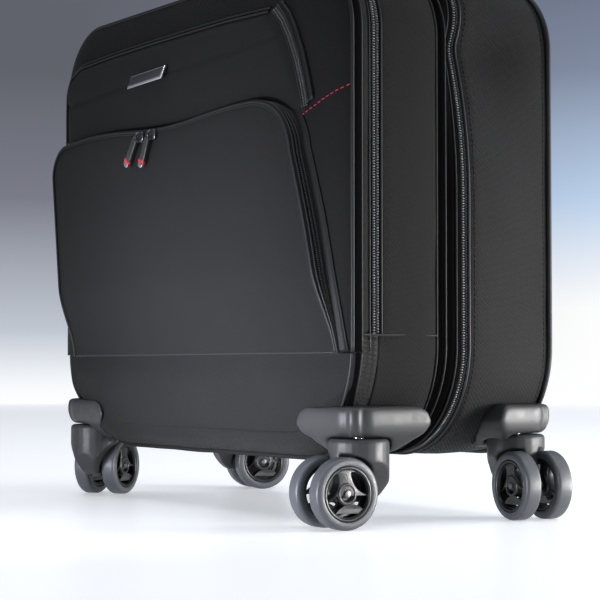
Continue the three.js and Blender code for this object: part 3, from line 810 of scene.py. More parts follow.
def clear_casters(obj):
    """Lifts cloth out of the cups that the casters' hoods turn in, behind the corner guards."""
    cup_radius, cup_top = 25.0, 66.0
    pins = [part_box(f"swivel_pin_{corner}") for corner in CORNERS]
    axes = [(low + high) / 2 for low, high in pins]
    for vertex in obj.data.vertices:
        near = min(math.hypot(vertex.co.x - a.x, vertex.co.y - a.y) for a in axes)
        if near < cup_radius * MM:
            vertex.co.z = max(vertex.co.z, cup_top * MM)
    return obj


# ---------------------------------------------------------------- rear section

def rear_gusset():
    """The rear tub's wall, with openings for the pull handle and the carry handle."""
    start = MAIN_ZIP + 1.2
    gusset = [(start, 2.4), (start + 0.8, 1.2), (start + 2.2, 0.8), (start + 3.6, 1.4),
              (start + 4.4, 1.0), (start + 6, 0.2), (start + 12, -0.4), (start + 22, -1.2),
              (start + 34, -1.7), (start + 46, -1.6), (start + 58, -1.1), (start + 68, -0.5),
              (BACK - 3, 0.0), (BACK, 0.6)]
    band = line_cloth(loft("rear_gusset", gusset, NYLON, 0.7, 3.0))
    through = (TOP - 24, TOP + 16)
    low, high = case_box("handle_bezel")
    holes = [block("bezel_hole", (low[0] + 5, high[0] - 5), (low[1] + 4.5, high[1] - 4.5), through)]
    low, high = case_box("carry_handle")
    for near in ((low[0] - 1, low[0] + 6.5), (high[0] - 6.5, high[0] + 1)):
        holes.append(block("carry_slot", near, (low[1] - 0.6, high[1] + 0.6), through))
    place(clear_casters(cut(band, *holes)), "rear_section", "rear_shell", slot="nylon")


def back_height(points):
    """The back: flat, and rounded towards its edge."""
    depth = np.clip(inside_distance(points, OUTLINE[::2]), 0, None)
    return BACK + 0.4 + 4.6 * (1 - np.exp(-depth / 16))


def back_panel():
    back = flat_cloth("back_panel", OUTLINE - NORMALS * 0.8, back_height, NYLON, 8.0)
    facing_front(back).data.flip_normals()
    place(clear_casters(line_cloth(back)), "rear_section", slot="nylon")
    for name, y, inset, radius in (("rear_piping", BACK + 0.6, -0.6, 2.0),
                                   ("main_zip_rear_piping", MAIN_ZIP + 3.1, -0.2, 1.25)):
        trim(tube(name, wrap(y, inset), radius, PIPING, closed=True), "rear_section")


def zipper(prefix, node, y, front_body, rear_body, start_z=None):
    """A coil zipper round the case, or above a height: each half's teeth and tape on its body."""
    width, pitch, radius = 3.3, 1.9, 0.85
    for sign, body, word in ((-1, front_body, "front"), (1, rear_body, "rear")):
        ring, up = wrap(y + sign * 1.65, 0.9), RING_UP
        rows = [wrap(y + sign * d, i) for d, i in ((0.35, 2.4), (1.2, 2.1), (3.2, 2.0), (4.6, 1.9))]
        if start_z is None:
            rows = closed(np.array(rows))
        else:
            ring, up = above(ring, up, start_z, 1)
            rows = [above(row, RING_UP, start_z, -3)[0] for row in rows]
        teeth = coil(f"{prefix}_teeth_{word}", ring, up, width, pitch, start_z is None,
                     0.5 * (sign > 0), radius)
        tape = grid(f"{prefix}_tape_{word}", rows, TAPE, flip=sign > 0)
        if start_z is None:
            weld(tape)
        place(teeth, body, *((node,) if word == "rear" else ()), slot="zipper_tape")
        trim(solidify(tape, 0.7), body)


# ---------------------------------------------------------------- front section

def front_gusset():
    """The front tub's wall, with the taped channel beside the main zipper."""
    lip = smooth(LAPTOP_ZIP_END - 1.5, LAPTOP_ZIP_END + 2.5, OUTLINE[:, 1])
    sections = [(ZIP_EDGE, 2.6 * lip), (ZIP_EDGE + 2.0, 2.0 * lip), (ZIP_EDGE + 3.0, 0.9 * lip),
                (ZIP_EDGE + 4.2, 0.5 * lip), (ZIP_EDGE + 5.6, 0.0), (-58, -0.3), (-48, -0.9),
                (-38, -1.2), (-28, -1.0), (-20, -0.3), (-17.2, 0.4), (-16.2, 2.6), (-14.5, 3.6),
                (-12.2, 3.4), (-10.6, 2.0), (-8.6, 1.4), (-7.2, 2.8), (-5.4, 3.2), (-3.4, 2.0),
                (-1.6, 0.8), (0.0, 0.6), (1.2, 1.0), (2.6, 0.9), (4.0, 0.5), (6.0, 0.7),
                (7.8, 1.2), (MAIN_ZIP - 1.2, 2.6)]
    # The front tub's wall takes the darker copy of the nylon: painted shade.
    band = clear_casters(line_cloth(loft("front_gusset", sections, SHADED_NYLON, 0.6, 11.0)))
    paint(band, TAPE, lambda point: point[1] > CHANNEL)
    place(band, "front_section", slot="nylon")


def lower_gusset():
    """The cloth below the laptop zipper's ends, which turns in to the lower front.
    Returns its last row of points, on the front."""
    crisp = smooth(70, 100, OUTLINE[:, 1])
    rounding, inward = 24.0 - 20.5 * crisp, 18.0 - 15.0 * crisp
    side_top, straight = LAPTOP_ZIP_END - 0.6, 0.3
    rows = []
    for t in np.linspace(0, 1, 20):
        angle = max(0.0, t - straight) / (1 - straight) * math.pi / 2
        y = FRONT + rounding * (1 - math.sin(angle))
        y = y + (ZIP_EDGE - FRONT - rounding) * max(0.0, 1 - t / straight)
        inset = inward * (1 - math.cos(angle))
        top = side_top + (SEAM + 6 - side_top) * smooth(0.2, 0.6, t) - 6 * smooth(0.6, 1.0, t)
        rows.append(lower_ring(y, inset, float(top)))
    rows = np.array(rows)
    for point in rows.reshape(-1, 3):
        side = np.array([point[0] / HALF, -0.4, (point[2] - 127) / 80])
        point += unit(side) * 0.55 * ripple(point, 42, 21.0)
    middle = rows.shape[1] // 2 + 1
    uvs = np.array([[(u, -v) for u in distances(rows[0])] for v in distances(rows[:, middle])])
    boot = clear_casters(line_cloth(grid("lower_gusset", rows, NYLON, uvs)))
    place(boot, "front_section", "front_shell", slot="nylon")
    return rows[-1]


def lower_front(rim_ring):
    """The front below the seam, inside the lower gusset's last row."""
    rim = rim_ring[:, [0, 2]]
    outline = np.vstack([rim, level_line(rim[-1][0], rim[0][0], SEAM)])

    def height(points):
        swell = swelling(points, 2, 60, 20, 31.0, 0.5)
        inner = smooth(0, 22, inside_distance(points, outline))
        near_rim = np.array([rim_ring[np.argmin(np.hypot(*(rim - p).T)), 1] for p in points])
        return near_rim * (1 - inner) + (FRONT - 1.6 - 0.9 * swell) * inner

    face = flat_cloth("lower_front", outline, height, NYLON)
    place(clear_casters(line_cloth(facing_front(face))), "front_section", slot="nylon")


def over_top(y, inset, z, wrinkle=0.0, seed=0.0):
    """A path over the case's top at depth y, between both sides at height z."""
    return above(wrap(y, inset, wrinkle, seed), RING_UP, z)[0]


def panel_walls():
    """The fold-down front's walls, from the laptop zipper to the front piping."""
    sections = [(LAPTOP_ZIP - 1.8, 2.6), (LAPTOP_ZIP - 3.6, 2.0), (LAPTOP_ZIP - 4.8, 0.9),
                (LAPTOP_ZIP - 6, 0.2), (LAPTOP_ZIP - 10, 0.0), (LAPTOP_ZIP - 13, 0.3),
                (FRONT + 3.6, 0.5), (FRONT + 1.6, 0.8), (FRONT + 0.2, 1.6)]
    rows = np.array([over_top(y, inset, SEAM + 1.4, 0.4, 15.0) for y, inset in sections])
    tuck = 1.8 * (1 - smooth(LAPTOP_ZIP_END - 2, LAPTOP_ZIP_END + 1.5, rows[:, :, 2]))
    rows[:, :, 0] -= np.sign(rows[:, :, 0]) * tuck
    uvs = np.array([[(u, y) for u in distances(rows[0])] for y, _ in sections])
    walls = line_cloth(grid("panel_walls", rows, POCKET_NYLON, uvs), 2.0)
    place(walls, "front_panel", slot="nylon")


def front_panel():
    """The fold-down front's face, and the cords and tape round it."""
    low_end = SEAM + 0.5
    rim = over_top(FRONT, 1.2, low_end)[:, [0, 2]]
    outline = np.vstack([rim, level_line(rim[-1][0], rim[0][0], low_end)])
    # The face takes the darker copy of the nylon: painted shade on the same cloth as the lower front.
    face = flat_cloth("panel_face", outline, panel_height, SHADED_NYLON)
    place(line_cloth(facing_front(face), 2.5), "front_panel", "front_panel", slot="nylon")

    for name, y, inset, radius in (("front_piping", FRONT - 0.3, 0.6, 1.4),
                                   ("edge_tape_piping", EDGE_TAPE, -0.1, 0.9),
                                   ("laptop_zip_front_piping", LAPTOP_ZIP - 5.6, 0.1, 0.7)):
        trim(tube(name, over_top(y, inset, low_end), radius, PIPING), "front_panel")
    sections = ((FRONT + 0.2, 0.2), (FRONT + 1.6, -0.5), (EDGE_TAPE - 1.6, -0.5), (EDGE_TAPE, 0.0))
    rows = [over_top(y, inset, low_end) for y, inset in sections]
    trim(solidify(grid("edge_tape", rows, TAPE), 0.5), "front_panel")
    path = over_top(LAPTOP_ZIP + 4.6, 0.0, LAPTOP_ZIP_END)
    trim(tube("laptop_zip_rear_piping", path, 0.9, PIPING), "front_section")


def lower_edge_tape():
    """The bound edge of the front's corner, carried on below the seam to the guards."""
    z = np.linspace(SEAM + 0.2, 70, 40)
    x = np.interp(z, OUTLINE[:60, 1], OUTLINE[:60, 0]) - 0.3
    sink = 3.0 * smooth(100, 74, z)
    for side, word in ((-1, "left"), (1, "right")):
        for edge, y, out, radius in (("front", FRONT + 0.6, -2.2 - sink, 1.25),
                                     ("rear", EDGE_TAPE, 0.2, 0.9)):
            path = np.stack([side * (x + out), y + sink, z], axis=1)
            trim(tube(f"lower_edge_cord_{edge}_{word}", path, radius, PIPING), "front_section")
        sections = ((FRONT + 1.0, -1.6), (FRONT + 2.6, 0.1), (EDGE_TAPE - 2, 0.5), (EDGE_TAPE, 0.3))
        rows = [np.stack([side * (x + out), y + sink, z], axis=1) for y, out in sections]
        tape = grid(f"lower_edge_tape_{word}", rows, TAPE, flip=side < 0)
        trim(solidify(tape, 0.5, 0), "front_section")


def seams():
    """Bindings, cords and rows of stitching that hold the cloth together."""
    lower_edge_tape()
    for name, y, inset, radius, material in (("channel_cord_front", -16.4, 0.4, 0.9, BINDING),
                                             ("channel_cord_middle", -7.6, 1.0, 0.7, PIPING),
                                             ("main_zip_front_piping", 1.6, 0.2, 0.9, BINDING)):
        trim(tube(name, wrap(y, inset), radius, material, closed=True), "front_section")

    half_width = HALF - 10
    x = np.linspace(-half_width + 2, half_width - 2, 160)
    y = FRONT - 5.5 + 9.0 * np.exp((np.abs(x) - half_width) / 7)
    path = np.stack([x, y, np.full(len(x), SEAM + 0.2)], axis=1)
    trim(tube("bottom_seam_cord", path, 1.1, PIPING), "front_section")

    for side, word in ((-1, "left"), (1, "right")):
        path = np.linspace((side * (HALF + 0.35), FRONT + 4, LAPTOP_ZIP_END - 0.2),
                           (side * (HALF + 0.35), -17, LAPTOP_ZIP_END - 0.2), 60)
        cord = tube(f"side_seam_{word}", path - (side * 0.3, 0, 0), 0.9, BINDING, flatten=0.7)
        trim(cord, "front_section")
        sewn = stitches(f"side_stitches_{word}", path - (0, 0, 2.4), (side, 0, 0), BLACK_THREAD)
        trim(sewn, "front_section")
    for name, y in (("gusset_stitches", MAIN_ZIP + 8.5), ("back_stitches", BACK - 5)):
        ring = wrap(y, -0.2, 0.7, 3.0)
        trim(stitches(name, ring, RING_UP, BLACK_THREAD, 2.6, 1.4, 0.26, 0.0), "rear_section")


# ---------------------------------------------------------------- pockets

def edge_frames(spacing=2.0):
    """The lower pocket's edge with its outward directions in the face and its share of depth."""
    points = resample(EDGE, spacing)
    tangent = unit(np.gradient(points, axis=0))
    outward = np.stack([-tangent[:, 1], tangent[:, 0]], axis=1)
    share = smooth(0, 60, points[:, 1] - SEAM)
    return points, outward, share


def edge_path(out, depth):
    """A path along the pocket's edge, moved out in the face; depth 0 is the panel, 1 the flap."""
    points, outward, share = edge_frames()
    flat = points + outward * out
    base = panel_height(flat)
    flap = np.minimum(POCKET_FRONT + FLAP_LEAN * (1 - share), base - 1.2)
    y = base + (flap - base) * depth
    return np.stack([flat[:, 0], y, flat[:, 1]], axis=1)


def edge_up():
    """Directions out of the pocket's edge, in the face."""
    _, outward, _ = edge_frames()
    return np.stack([outward[:, 0], np.zeros(len(outward)), outward[:, 1]], axis=1)


def bend_with_flap(obj):
    """Bakes a piece of the lower pocket's flap into its mesh where it stands."""
    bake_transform(obj)


def strip(name, sections, material, thickness):
    """A band of cloth along the lower pocket's edge through (out, depth) sections."""
    rows = np.array([edge_path(out, depth) for out, depth in sections])
    uvs = np.array([[(u, 14 * depth) for u in distances(rows[0])] for _, depth in sections])
    return solidify(grid(name, rows, material, uvs), thickness)


def lower_pocket():
    """The flap that folds out, and its wall, rim, zipper and cords."""
    bottom = level_line(EDGE[-1][0], EDGE[0][0], SEAM + 0.6, 128)
    outline = np.vstack([EDGE, bottom])[::-1]
    flap = flat_cloth("pocket_flap_cloth", outline, flap_height, POCKET_NYLON)
    flap = line_cloth(facing_front(flap), 1.8)
    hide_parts("pocket_flap")
    bend_with_flap(flap)

    wall = [(8.6, 0.05), (5.0, 0.07), (2.6, 0.13), (1.2, 0.26), (0.8, 0.42), (0.2, 0.44)]
    place(strip("pocket_wall", wall, BINDING, 0.5), "front_panel", slot="nylon")
    rim = [(0.2, 0.48), (0.4, 0.62), (1.0, 0.84), (0.6, 0.95), (-0.6, 1.02), (-2.2, 1.04)]
    bend_with_flap(strip("pocket_rim", rim, BINDING, 0.5))

    up, width, pitch, radius = edge_up(), 2.5, 1.6, 0.68
    fixed = coil("pocket_teeth_panel", edge_path(1.6, 0.34), up, width, pitch, radius=radius)
    trim(fixed, "front_panel")
    loose = coil("pocket_teeth_flap", edge_path(1.6, 0.57), up, width, pitch, False, 0.5, radius)
    bend_with_flap(loose)

    trim(tube("pocket_base_cord", edge_path(8.6, 0.05), 0.9, BINDING), "front_panel")
    for name, out, depth, radius in (("pocket_lip_cord", 0.2, 1.0, 0.95),
                                     ("pocket_zip_lip_cord", 1.5, 0.80, 0.85)):
        bend_with_flap(tube(name, edge_path(out, depth), radius, PIPING))


def upper_pocket():
    """The flat pocket across the top, with two cords along its upper edge."""
    face = flat_cloth("upper_pocket_cloth", UPPER, upper_height, POCKET_NYLON, 3.2)
    place(line_cloth(facing_front(face), 1.6), "front_panel", "upper_pocket", slot="nylon")
    top = UPPER[UPPER[:, 1] > 308]
    start = np.argmax(np.linalg.norm(np.diff(np.vstack([top, top[:1]]), axis=0), axis=1)) + 1
    top = np.roll(top, -start, 0)
    for name, inward, lift in (("upper_pocket_piping", 0.4, 1.5), ("upper_pocket_cord", 3.4, 3.2)):
        path = on_panel(top - (0, inward), lift)
        trim(tube(name, path[path[:, 0] < 118], 0.9, PIPING), "front_panel")


def upper_zipper():
    """The upper pocket's zipper down its right end: cords, a band and the teeth."""
    line = [(121, 371.5), (131, 362), (139, 350), (149, 330), (156, 311), (160, 296)]
    line = resample(np.array(line), 2.0) + (2.4, 1.0)

    def beside(shift, lift):
        return on_panel(line + (shift, shift * 0.45), lift)

    for name, shift, radius in (("upper_zip_lip_left", -3.4, 0.9), ("upper_zip_lip_right", 3.6, 1.1),
                                ("upper_zip_edge", 8.6, 0.8)):
        trim(tube(name, beside(shift, 1.8), radius, PIPING), "front_panel")
    rows = [beside(*section) for section in ((2.4, 1.2), (4.6, 1.5), (8.2, 1.2), (9.0, 0.2))]
    trim(solidify(grid("upper_zip_band", rows, BINDING), 0.5, 0), "front_panel")
    up, width, pitch, radius = np.tile((0, -1, 0), (len(line), 1)), 2.5, 1.6, 0.65
    for word, shift, phase in (("left", -1.3, 0.0), ("right", 1.3, 0.5)):
        teeth = coil(f"upper_teeth_{word}", beside(shift, 1.9), up, width, pitch, False, phase, radius)
        trim(teeth, "front_panel")


def red_stitches():
    """The red seam that runs to the front's edge below the upper zipper."""
    line = resample(np.array([(143, 286), (160, 292), (182, 299), (206, 306)], float), 2.0)
    red = stitches("red_stitches", on_panel(line, 0.1), (0, -1, 0), RED_THREAD, 3.4, 1.7, 0.45, 0.25)
    trim(red, "front_panel")


def badge():
    """A slanted metal plate with a raised rim and a darker, blank field."""
    low, high = case_box("badge_plate")
    middle, half_x, half_z, lean = (low + high) / 2, (high[0] - low[0]) / 2, 4.6, 3.5

    def corners(grow):
        x, z = half_x + grow, half_z + grow
        return [(-x - lean, -z), (x - lean, -z), (x + lean, z), (-x + lean, z)]

    for name, grow, depth, bevel, material, back, rise in (
            ("badge_rim", 0.0, 1.8, 0.5, ALUMINIUM, 2.6, 0.0),
            ("badge_field", -1.3, 0.8, 0.2, GUNMETAL, 3.5, 0.4)):
        turn = stand((middle[0], high[1] - back, middle[2] + rise), (1, 0, 0.03), (0, 0, 1))
        plate = outline_solid(name, [corners(grow)], depth, bevel, material, turn)
        place(plate, "front_panel", *(("badge_plate",) if name == "badge_rim" else ()), slot="aluminium")


# ---------------------------------------------------------------- hard parts

VALLEY_DEPTH, VALLEY_WIDTH = 1.9, 4.5  # of the valleys pressed into the corner guards
VALLEY_PLACE = 10.0  # and how far from the corner they lie


def node_copy(name, node, material):
    """A new piece with the CAD node's shape, to round and detail."""
    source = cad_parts[node]
    obj = bpy.data.objects.new(name, source.data.copy())
    bpy.context.scene.collection.objects.link(obj)
    only_material(obj, material)
    obj.data.polygons.foreach_set("material_index", [0] * len(obj.data.polygons))
    return weld(obj)


def box_weave(obj):
    """Lays a weave over a piece from the side that each face looks to."""
    layer = obj.data.uv_layers.get("weave") or obj.data.uv_layers.new(name="weave")
    for face in obj.data.polygons:
        drop = max(range(3), key=lambda k: abs(face.normal[k]))
        keep = [k for k in range(3) if k != drop]
        for loop in face.loop_indices:
            point = obj.data.vertices[obj.data.loops[loop].vertex_index].co
            layer.data[loop].uv = (point[keep[0]], point[keep[1]])
    return obj


def moulded_copy(name, node, material, voxel=0.9, passes=8):
    """The CAD node's shape as a moulding, with every edge rounded."""
    obj = node_copy(name, node, material)
    modify(obj, "REMESH", mode="VOXEL", voxel_size=voxel * MM, use_smooth_shade=True)
    modify(obj, "SMOOTH", factor=0.5, iterations=passes)
    return shade_smooth(apply_modifiers(obj))


def bevelled_copy(name, node, material, width=0.8):
    """The CAD node's shape with its sharp edges bevelled."""
    obj = node_copy(name, node, material)
    modify(obj, "BEVEL", width=width * MM, segments=3,
           limit_method="ANGLE", angle_limit=math.radians(40))
    return shade_smooth(apply_modifiers(obj), 35)


def tyre_profile(half_width=6.5):
    """Half a tyre's section as (radius, along), mirrored into a loop."""
    r, side = WHEEL_RADIUS - 3.2, half_width - 2.6
    shoulder = [(r + 3.2 * math.cos(a), side + 2.6 * math.sin(a)) for a in np.linspace(0, math.pi / 2, 9)]
    lip = [(RIM + 1.6, half_width), (RIM + 0.7, half_width - 0.15), (RIM + 0.35, half_width - 0.6),
           (RIM + 0.35, half_width - 2.0)]
    face = shoulder + lip
    return [(WHEEL_RADIUS, 0.0)] + face + [(p, -a) for p, a in face[::-1]] + [(WHEEL_RADIUS, 0.0)]


def quadratic(a, control, b, count):
    """Points between a and b on a quadratic curve, without its ends."""
    return [(1 - t) ** 2 * a + 2 * t * (1 - t) * control + t * t * b
            for t in np.linspace(0, 1, count)[1:-1]]


def spoke_outlines():
    """A wheel centre's rim and its three windows, which leave three spokes."""
    outer = [at_angle(RIM - 1.4, a) for a in np.linspace(0, TAU, 96, endpoint=False)]
    windows = []
    for spoke in range(3):
        middle = spoke * TAU / 3 - math.pi / 2 + math.radians(8)
        arc = [at_angle(16.2, a) for a in np.linspace(middle - 0.66, middle + 0.66, 26)]
        inner = at_angle(8.8, middle)
        right = quadratic(arc[-1], at_angle(10.6, middle + 0.62), inner, 14)
        left = quadratic(inner, at_angle(10.6, middle - 0.62), arc[0], 14)
        windows.append(arc + right + [inner] + left)
    return [outer] + windows


RIM_RING = [(RIM, 4.2), (RIM, 5.7), (RIM - 0.3, 6.0), (RIM - 1.2, 6.0), (RIM - 1.9, 5.4),
            (RIM - 2.2, 3.6), (RIM - 2.2, -4.5), (RIM - 1.4, -5.4), (RIM, -5.4), (RIM, 4.2)]
BOSS = [(0, -5), (7.6, -5), (8.2, -4.5), (8.2, 3.9), (7.6, 4.6), (6.4, 4.9), (5.6, 4.6), (5.2, 3.9),
        (5.0, 2.6), (3.6, 2.4), (0, 2.4)]
AXLE_SCREW = [(0, 2.2), (3.1, 2.2), (3.1, 3.6), (2.7, 4.1), (1.5, 4.25), (1.4, 3.2), (0, 3.1)]


def wheel(corner, side):
    """A tyre on a three-spoked centre, with its boss, recess and axle screw."""
    name, body = f"{corner}_{side}", f"wheel_{corner}_{side}"
    other = "b" if side == "a" else "a"
    centre, twin = (sum(case_box(f"tyre_{corner}_{word}")) / 2 for word in (side, other))
    axis = unit(centre - twin)
    tyre = turned(f"tyre_{name}_skin", tyre_profile(), axis, centre, TYRE, 96)
    place(tyre, body, f"tyre_{name}", slot="tyre")
    for piece, profile, material, sides, slot in (("rim", RIM_RING, HUB, 96, "hub_plastic"),
                                                  ("boss", BOSS, HUB, 48, "hub_plastic"),
                                                  ("axle_screw", AXLE_SCREW, GUNMETAL, 32, "steel")):
        place(turned(f"{piece}_{name}", profile, axis, centre, material, sides), body, slot=slot)
    across = unit(np.cross((0, 0, 1.0), axis))
    turn = stand(centre + axis * 0.1, across, np.cross(axis, across))
    spokes = outline_solid(f"spokes_{name}", spoke_outlines(), 8.6, 1.3, HUB, turn, 4)
    place(spokes, body, f"hub_{name}", slot="hub_plastic")


def press_valleys(guard, node):
    """Presses a shallow upright valley into the guard on either side of its corner."""
    low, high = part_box(node)
    middle = (low + high) / 2
    side_x, side_y = math.copysign(1, middle.x), math.copysign(1, middle.y - CENTRE[1] * MM)
    corner_x = high.x if side_x > 0 else low.x
    corner_y = high.y if side_y > 0 else low.y
    for vertex in guard.data.vertices:
        from_x, from_y = abs(vertex.co.x - corner_x) / MM, abs(vertex.co.y - corner_y) / MM
        dent = VALLEY_DEPTH * MM * math.exp(-((abs(from_x - from_y) - VALLEY_PLACE) / VALLEY_WIDTH) ** 2)
        if from_x < from_y:
            vertex.co.x -= side_x * dent
        else:
            vertex.co.y -= side_y * dent
    return guard


def corner_hardware():
    """Guards, forks, pins, axles and wheels of the four corners."""
    for corner in CORNERS:
        section = "front_section" if corner.startswith("front") else "rear_section"
        guard = moulded_copy(f"guard_{corner}_moulding", f"guard_{corner}", GUARD, voxel=1.1, passes=50)
        press_valleys(guard, f"guard_{corner}")
        place(guard, section, f"guard_{corner}", slot="grey_plastic")
        fork = moulded_copy(f"fork_{corner}_moulding", f"fork_{corner}", GUARD, voxel=0.7, passes=22)
        place(fork, f"caster_{corner}", f"fork_{corner}", slot="grey_plastic")
        for node, material in ((f"axle_{corner}", GUNMETAL), (f"swivel_pin_{corner}", STEEL)):
            part = bevelled_copy(f"{node}_turned", node, material, 0.4)
            place(part, f"caster_{corner}", node, slot="steel")
        for side in "ab":
            wheel(corner, side)


def pull_handle():
    """Six drawn tubes, the grip with its button, the bezel and the board behind them."""
    for stage, body in (("outer", "rear_section"), ("middle", "handle_stage_1"),
                        ("inner", "handle_stage_2")):
        for side in ("left", "right"):
            node = f"{stage}_tube_{side}"
            place(bevelled_copy(f"{node}_drawn", node, ALUMINIUM), body, node, slot="aluminium")
    for word, body, material, voxel, passes, slot in (
            ("grip", "handle_stage_2", BLACK_PLASTIC, 0.7, 8, "black_plastic"),
            ("button", "handle_button", GUARD, 0.4, 6, "grey_plastic"),
            ("bezel", "rear_section", BLACK_PLASTIC, 0.8, 6, "black_plastic")):
        piece = moulded_copy(f"{word}_moulding", f"handle_{word}", material, voxel, passes)
        place(piece, body, f"handle_{word}", slot=slot)
    board = bevelled_copy("back_board_sheet", "back_board", BOARD, 0.5)
    place(board, "rear_section", "back_board", slot="black_plastic")


def padded_copy(node, body, material, voxel, passes, slot):
    """A soft piece with the CAD node's shape, in woven cloth over foam."""
    obj = box_weave(moulded_copy(f"{node}_padding", node, material, voxel, passes))
    place(obj, body, node, slot=slot)


def soft_parts():
    """The carry handle with a row of stitches along both edges, and the padded sleeve's wall."""
    padded_copy("carry_handle", "carry_handle", NYLON, 0.9, 10, "nylon")
    low, high = case_box("carry_handle")
    for y, word in ((low[1] + 2.6, "front"), (high[1] - 2.6, "rear")):
        path = np.linspace((-54, y, high[2] + 0.05), (54, y, high[2] + 0.05), 60)
        sewn = stitches(f"carry_stitches_{word}", path, (0, 0, 1), BLACK_THREAD, lift=0.0)
        place(sewn, "carry_handle", slot="nylon")
    padded_copy("laptop_sleeve", "front_section", LINING, 1.6, 6, "lining")


def divider():
    """The lining cloth between the laptop and main compartments, behind the padded sleeve."""
    plane = case_box("laptop_sleeve")[1][1] + 1.5
    edge = wrap(plane, 1.8)[::2, [0, 2]]
    cloth = flat_cloth("divider_cloth", edge, lambda points: np.full(len(points), plane), LINING, 9.0)
    place(clear_casters(solidify(cloth, 0.8)), "front_section", slot="lining")


def slider(name, facing, run, down, lean=0.0):
    """A die-cast slider with its bail, and its pull, on cloth that faces this way."""
    low, high = case_box(f"{name}_slider")
    out, run, down = (np.array(way, float) for way in (facing, run, down))
    origin = np.where(out != 0, np.where(out < 0, high, low), (low + high) / 2)
    length, width = 12, 9
    half = [(length / 2, width * 0.35), (length / 2 - 2.5, width / 2), (0, width * 0.43),
            (2 - length / 2, width * 0.4), (-length / 2, width * 0.225)]
    outline = half + [(x, -y) for x, y in half[::-1]]
    turn = stand(origin + out * 1.5, run, np.cross(out, run))
    body = outline_solid(f"{name}_slider_body", [outline], 2.8, 0.8, GUNMETAL, turn)
    place(body, f"{name}_slider", f"{name}_slider", slot="dark_metal")
    bail = [origin + out * (1.4 + 4.3 * math.sin(a)) - down * 3.6 * math.cos(a)
            for a in np.linspace(0, math.pi, 16)]
    place(tube(f"{name}_slider_bail", bail, 0.85, GUNMETAL), f"{name}_slider", slot="dark_metal")
    hang = unit(down + np.cross(down, out) * lean)
    pull(name, origin + out * 5.4, out, hang)


def pull(name, middle, out, hang):
    """A ribbed pull with an eye, a red band and a bright tip, hanging from the bail."""
    wide = np.cross(hang, out)
    turn = stand(middle, hang, wide)
    outline = [(0.0, 1.6), (2.2, 2.2), (4.4, 3.2), (23.5, 3.5), (25.6, 2.8), (26.4, 1.4)]
    outline = outline + [(x, -y) for x, y in outline[::-1]]
    eye = [at_angle(1.1, a) + (1.4, 0) for a in np.linspace(0, TAU, 16, endpoint=False)]
    plate = outline_solid(f"{name}_pull_plate", [outline, eye], 2.0, 0.6, PULL_BLACK, turn)
    place(plate, f"{name}_pull", f"{name}_pull", slot="pull_rubber")
    ribs = [(middle + out * side * 0.95 + hang * at, wide, out, hang)
            for at in np.arange(6.0, 17.5, 1.35) for side in (-1, 1)]
    ribs = copies(f"{name}_pull_ribs", ribs, *capsule(6.2, 0.42), PULL_BLACK)
    place(ribs, f"{name}_pull", slot="pull_rubber")
    band = [(21.4, 3.85), (24.0, 3.75), (24.0, -3.75), (21.4, -3.85)]
    band = outline_solid(f"{name}_pull_band", [band], 2.7, 0.5, PULL_RED, turn)
    place(band, f"{name}_pull", slot="pull_rubber")
    tip = [(24.4, 3.6), (26.4, 3.1), (27.6, 1.6), (27.6, -1.6), (26.4, -3.1), (24.4, -3.6)]
    tip = outline_solid(f"{name}_pull_tip", [tip], 2.5, 0.5, STEEL, turn)
    place(tip, f"{name}_pull", slot="dark_metal")


def all_sliders():
    """Each slider: the way its cloth faces, the way it runs and the way its pull hangs."""
    slider("pocket_left", (0, -1, 0), (1, 0, 0), (0, 0, -1), lean=0.72)
    slider("pocket_right", (0, -1, 0), (1, 0, 0), (0, 0, -1), lean=0.46)
    slider("laptop", (-1, 0, 0), (0, 0, 1), (0, 0, -1))
    slider("main", (0, 0, 1), (1, 0, 0), (0, -1, 0), lean=0.1)


# ---------------------------------------------------------------- studio

def point_at(obj, position, target):
    """Stands a camera or light at a position and turns it to a target."""
    obj.location = to_row(position)
    look = Vector(to_row(target)) - obj.location
    obj.rotation_euler = look.to_track_quat("-Z", "Y").to_euler()


def camera():
    """The photo's view, as fitted to the case's edges and casters."""
    data = bpy.data.cameras.new("camera")
    data.lens = 104.5
    data.clip_start, data.clip_end = 0.05, 50
    obj = bpy.data.objects.new("camera", data)
    bpy.context.scene.collection.objects.link(obj)
    eye, yaw, pitch = np.array((1164.3, -805.6, 110.9)), 0.959, 0.039
    ahead = np.array((-math.sin(yaw) * math.cos(pitch), math.cos(yaw) * math.cos(pitch), math.sin(pitch)))
    point_at(obj, eye, eye + 1000 * ahead)
    bpy.context.scene.camera = obj


def area_light(name, position, target, width, height, power, color, spread=180):
    """A soft rectangular light, its sizes in millimetres and its power in watts."""
    data = bpy.data.lights.new(name, "AREA")
    data.shape = "RECTANGLE"
    data.size, data.size_y = width * MM, height * MM
    data.energy, data.color, data.spread = power, color, math.radians(spread)
    obj = bpy.data.objects.new(name, data)
    bpy.context.scene.collection.objects.link(obj)
    point_at(obj, position, target)


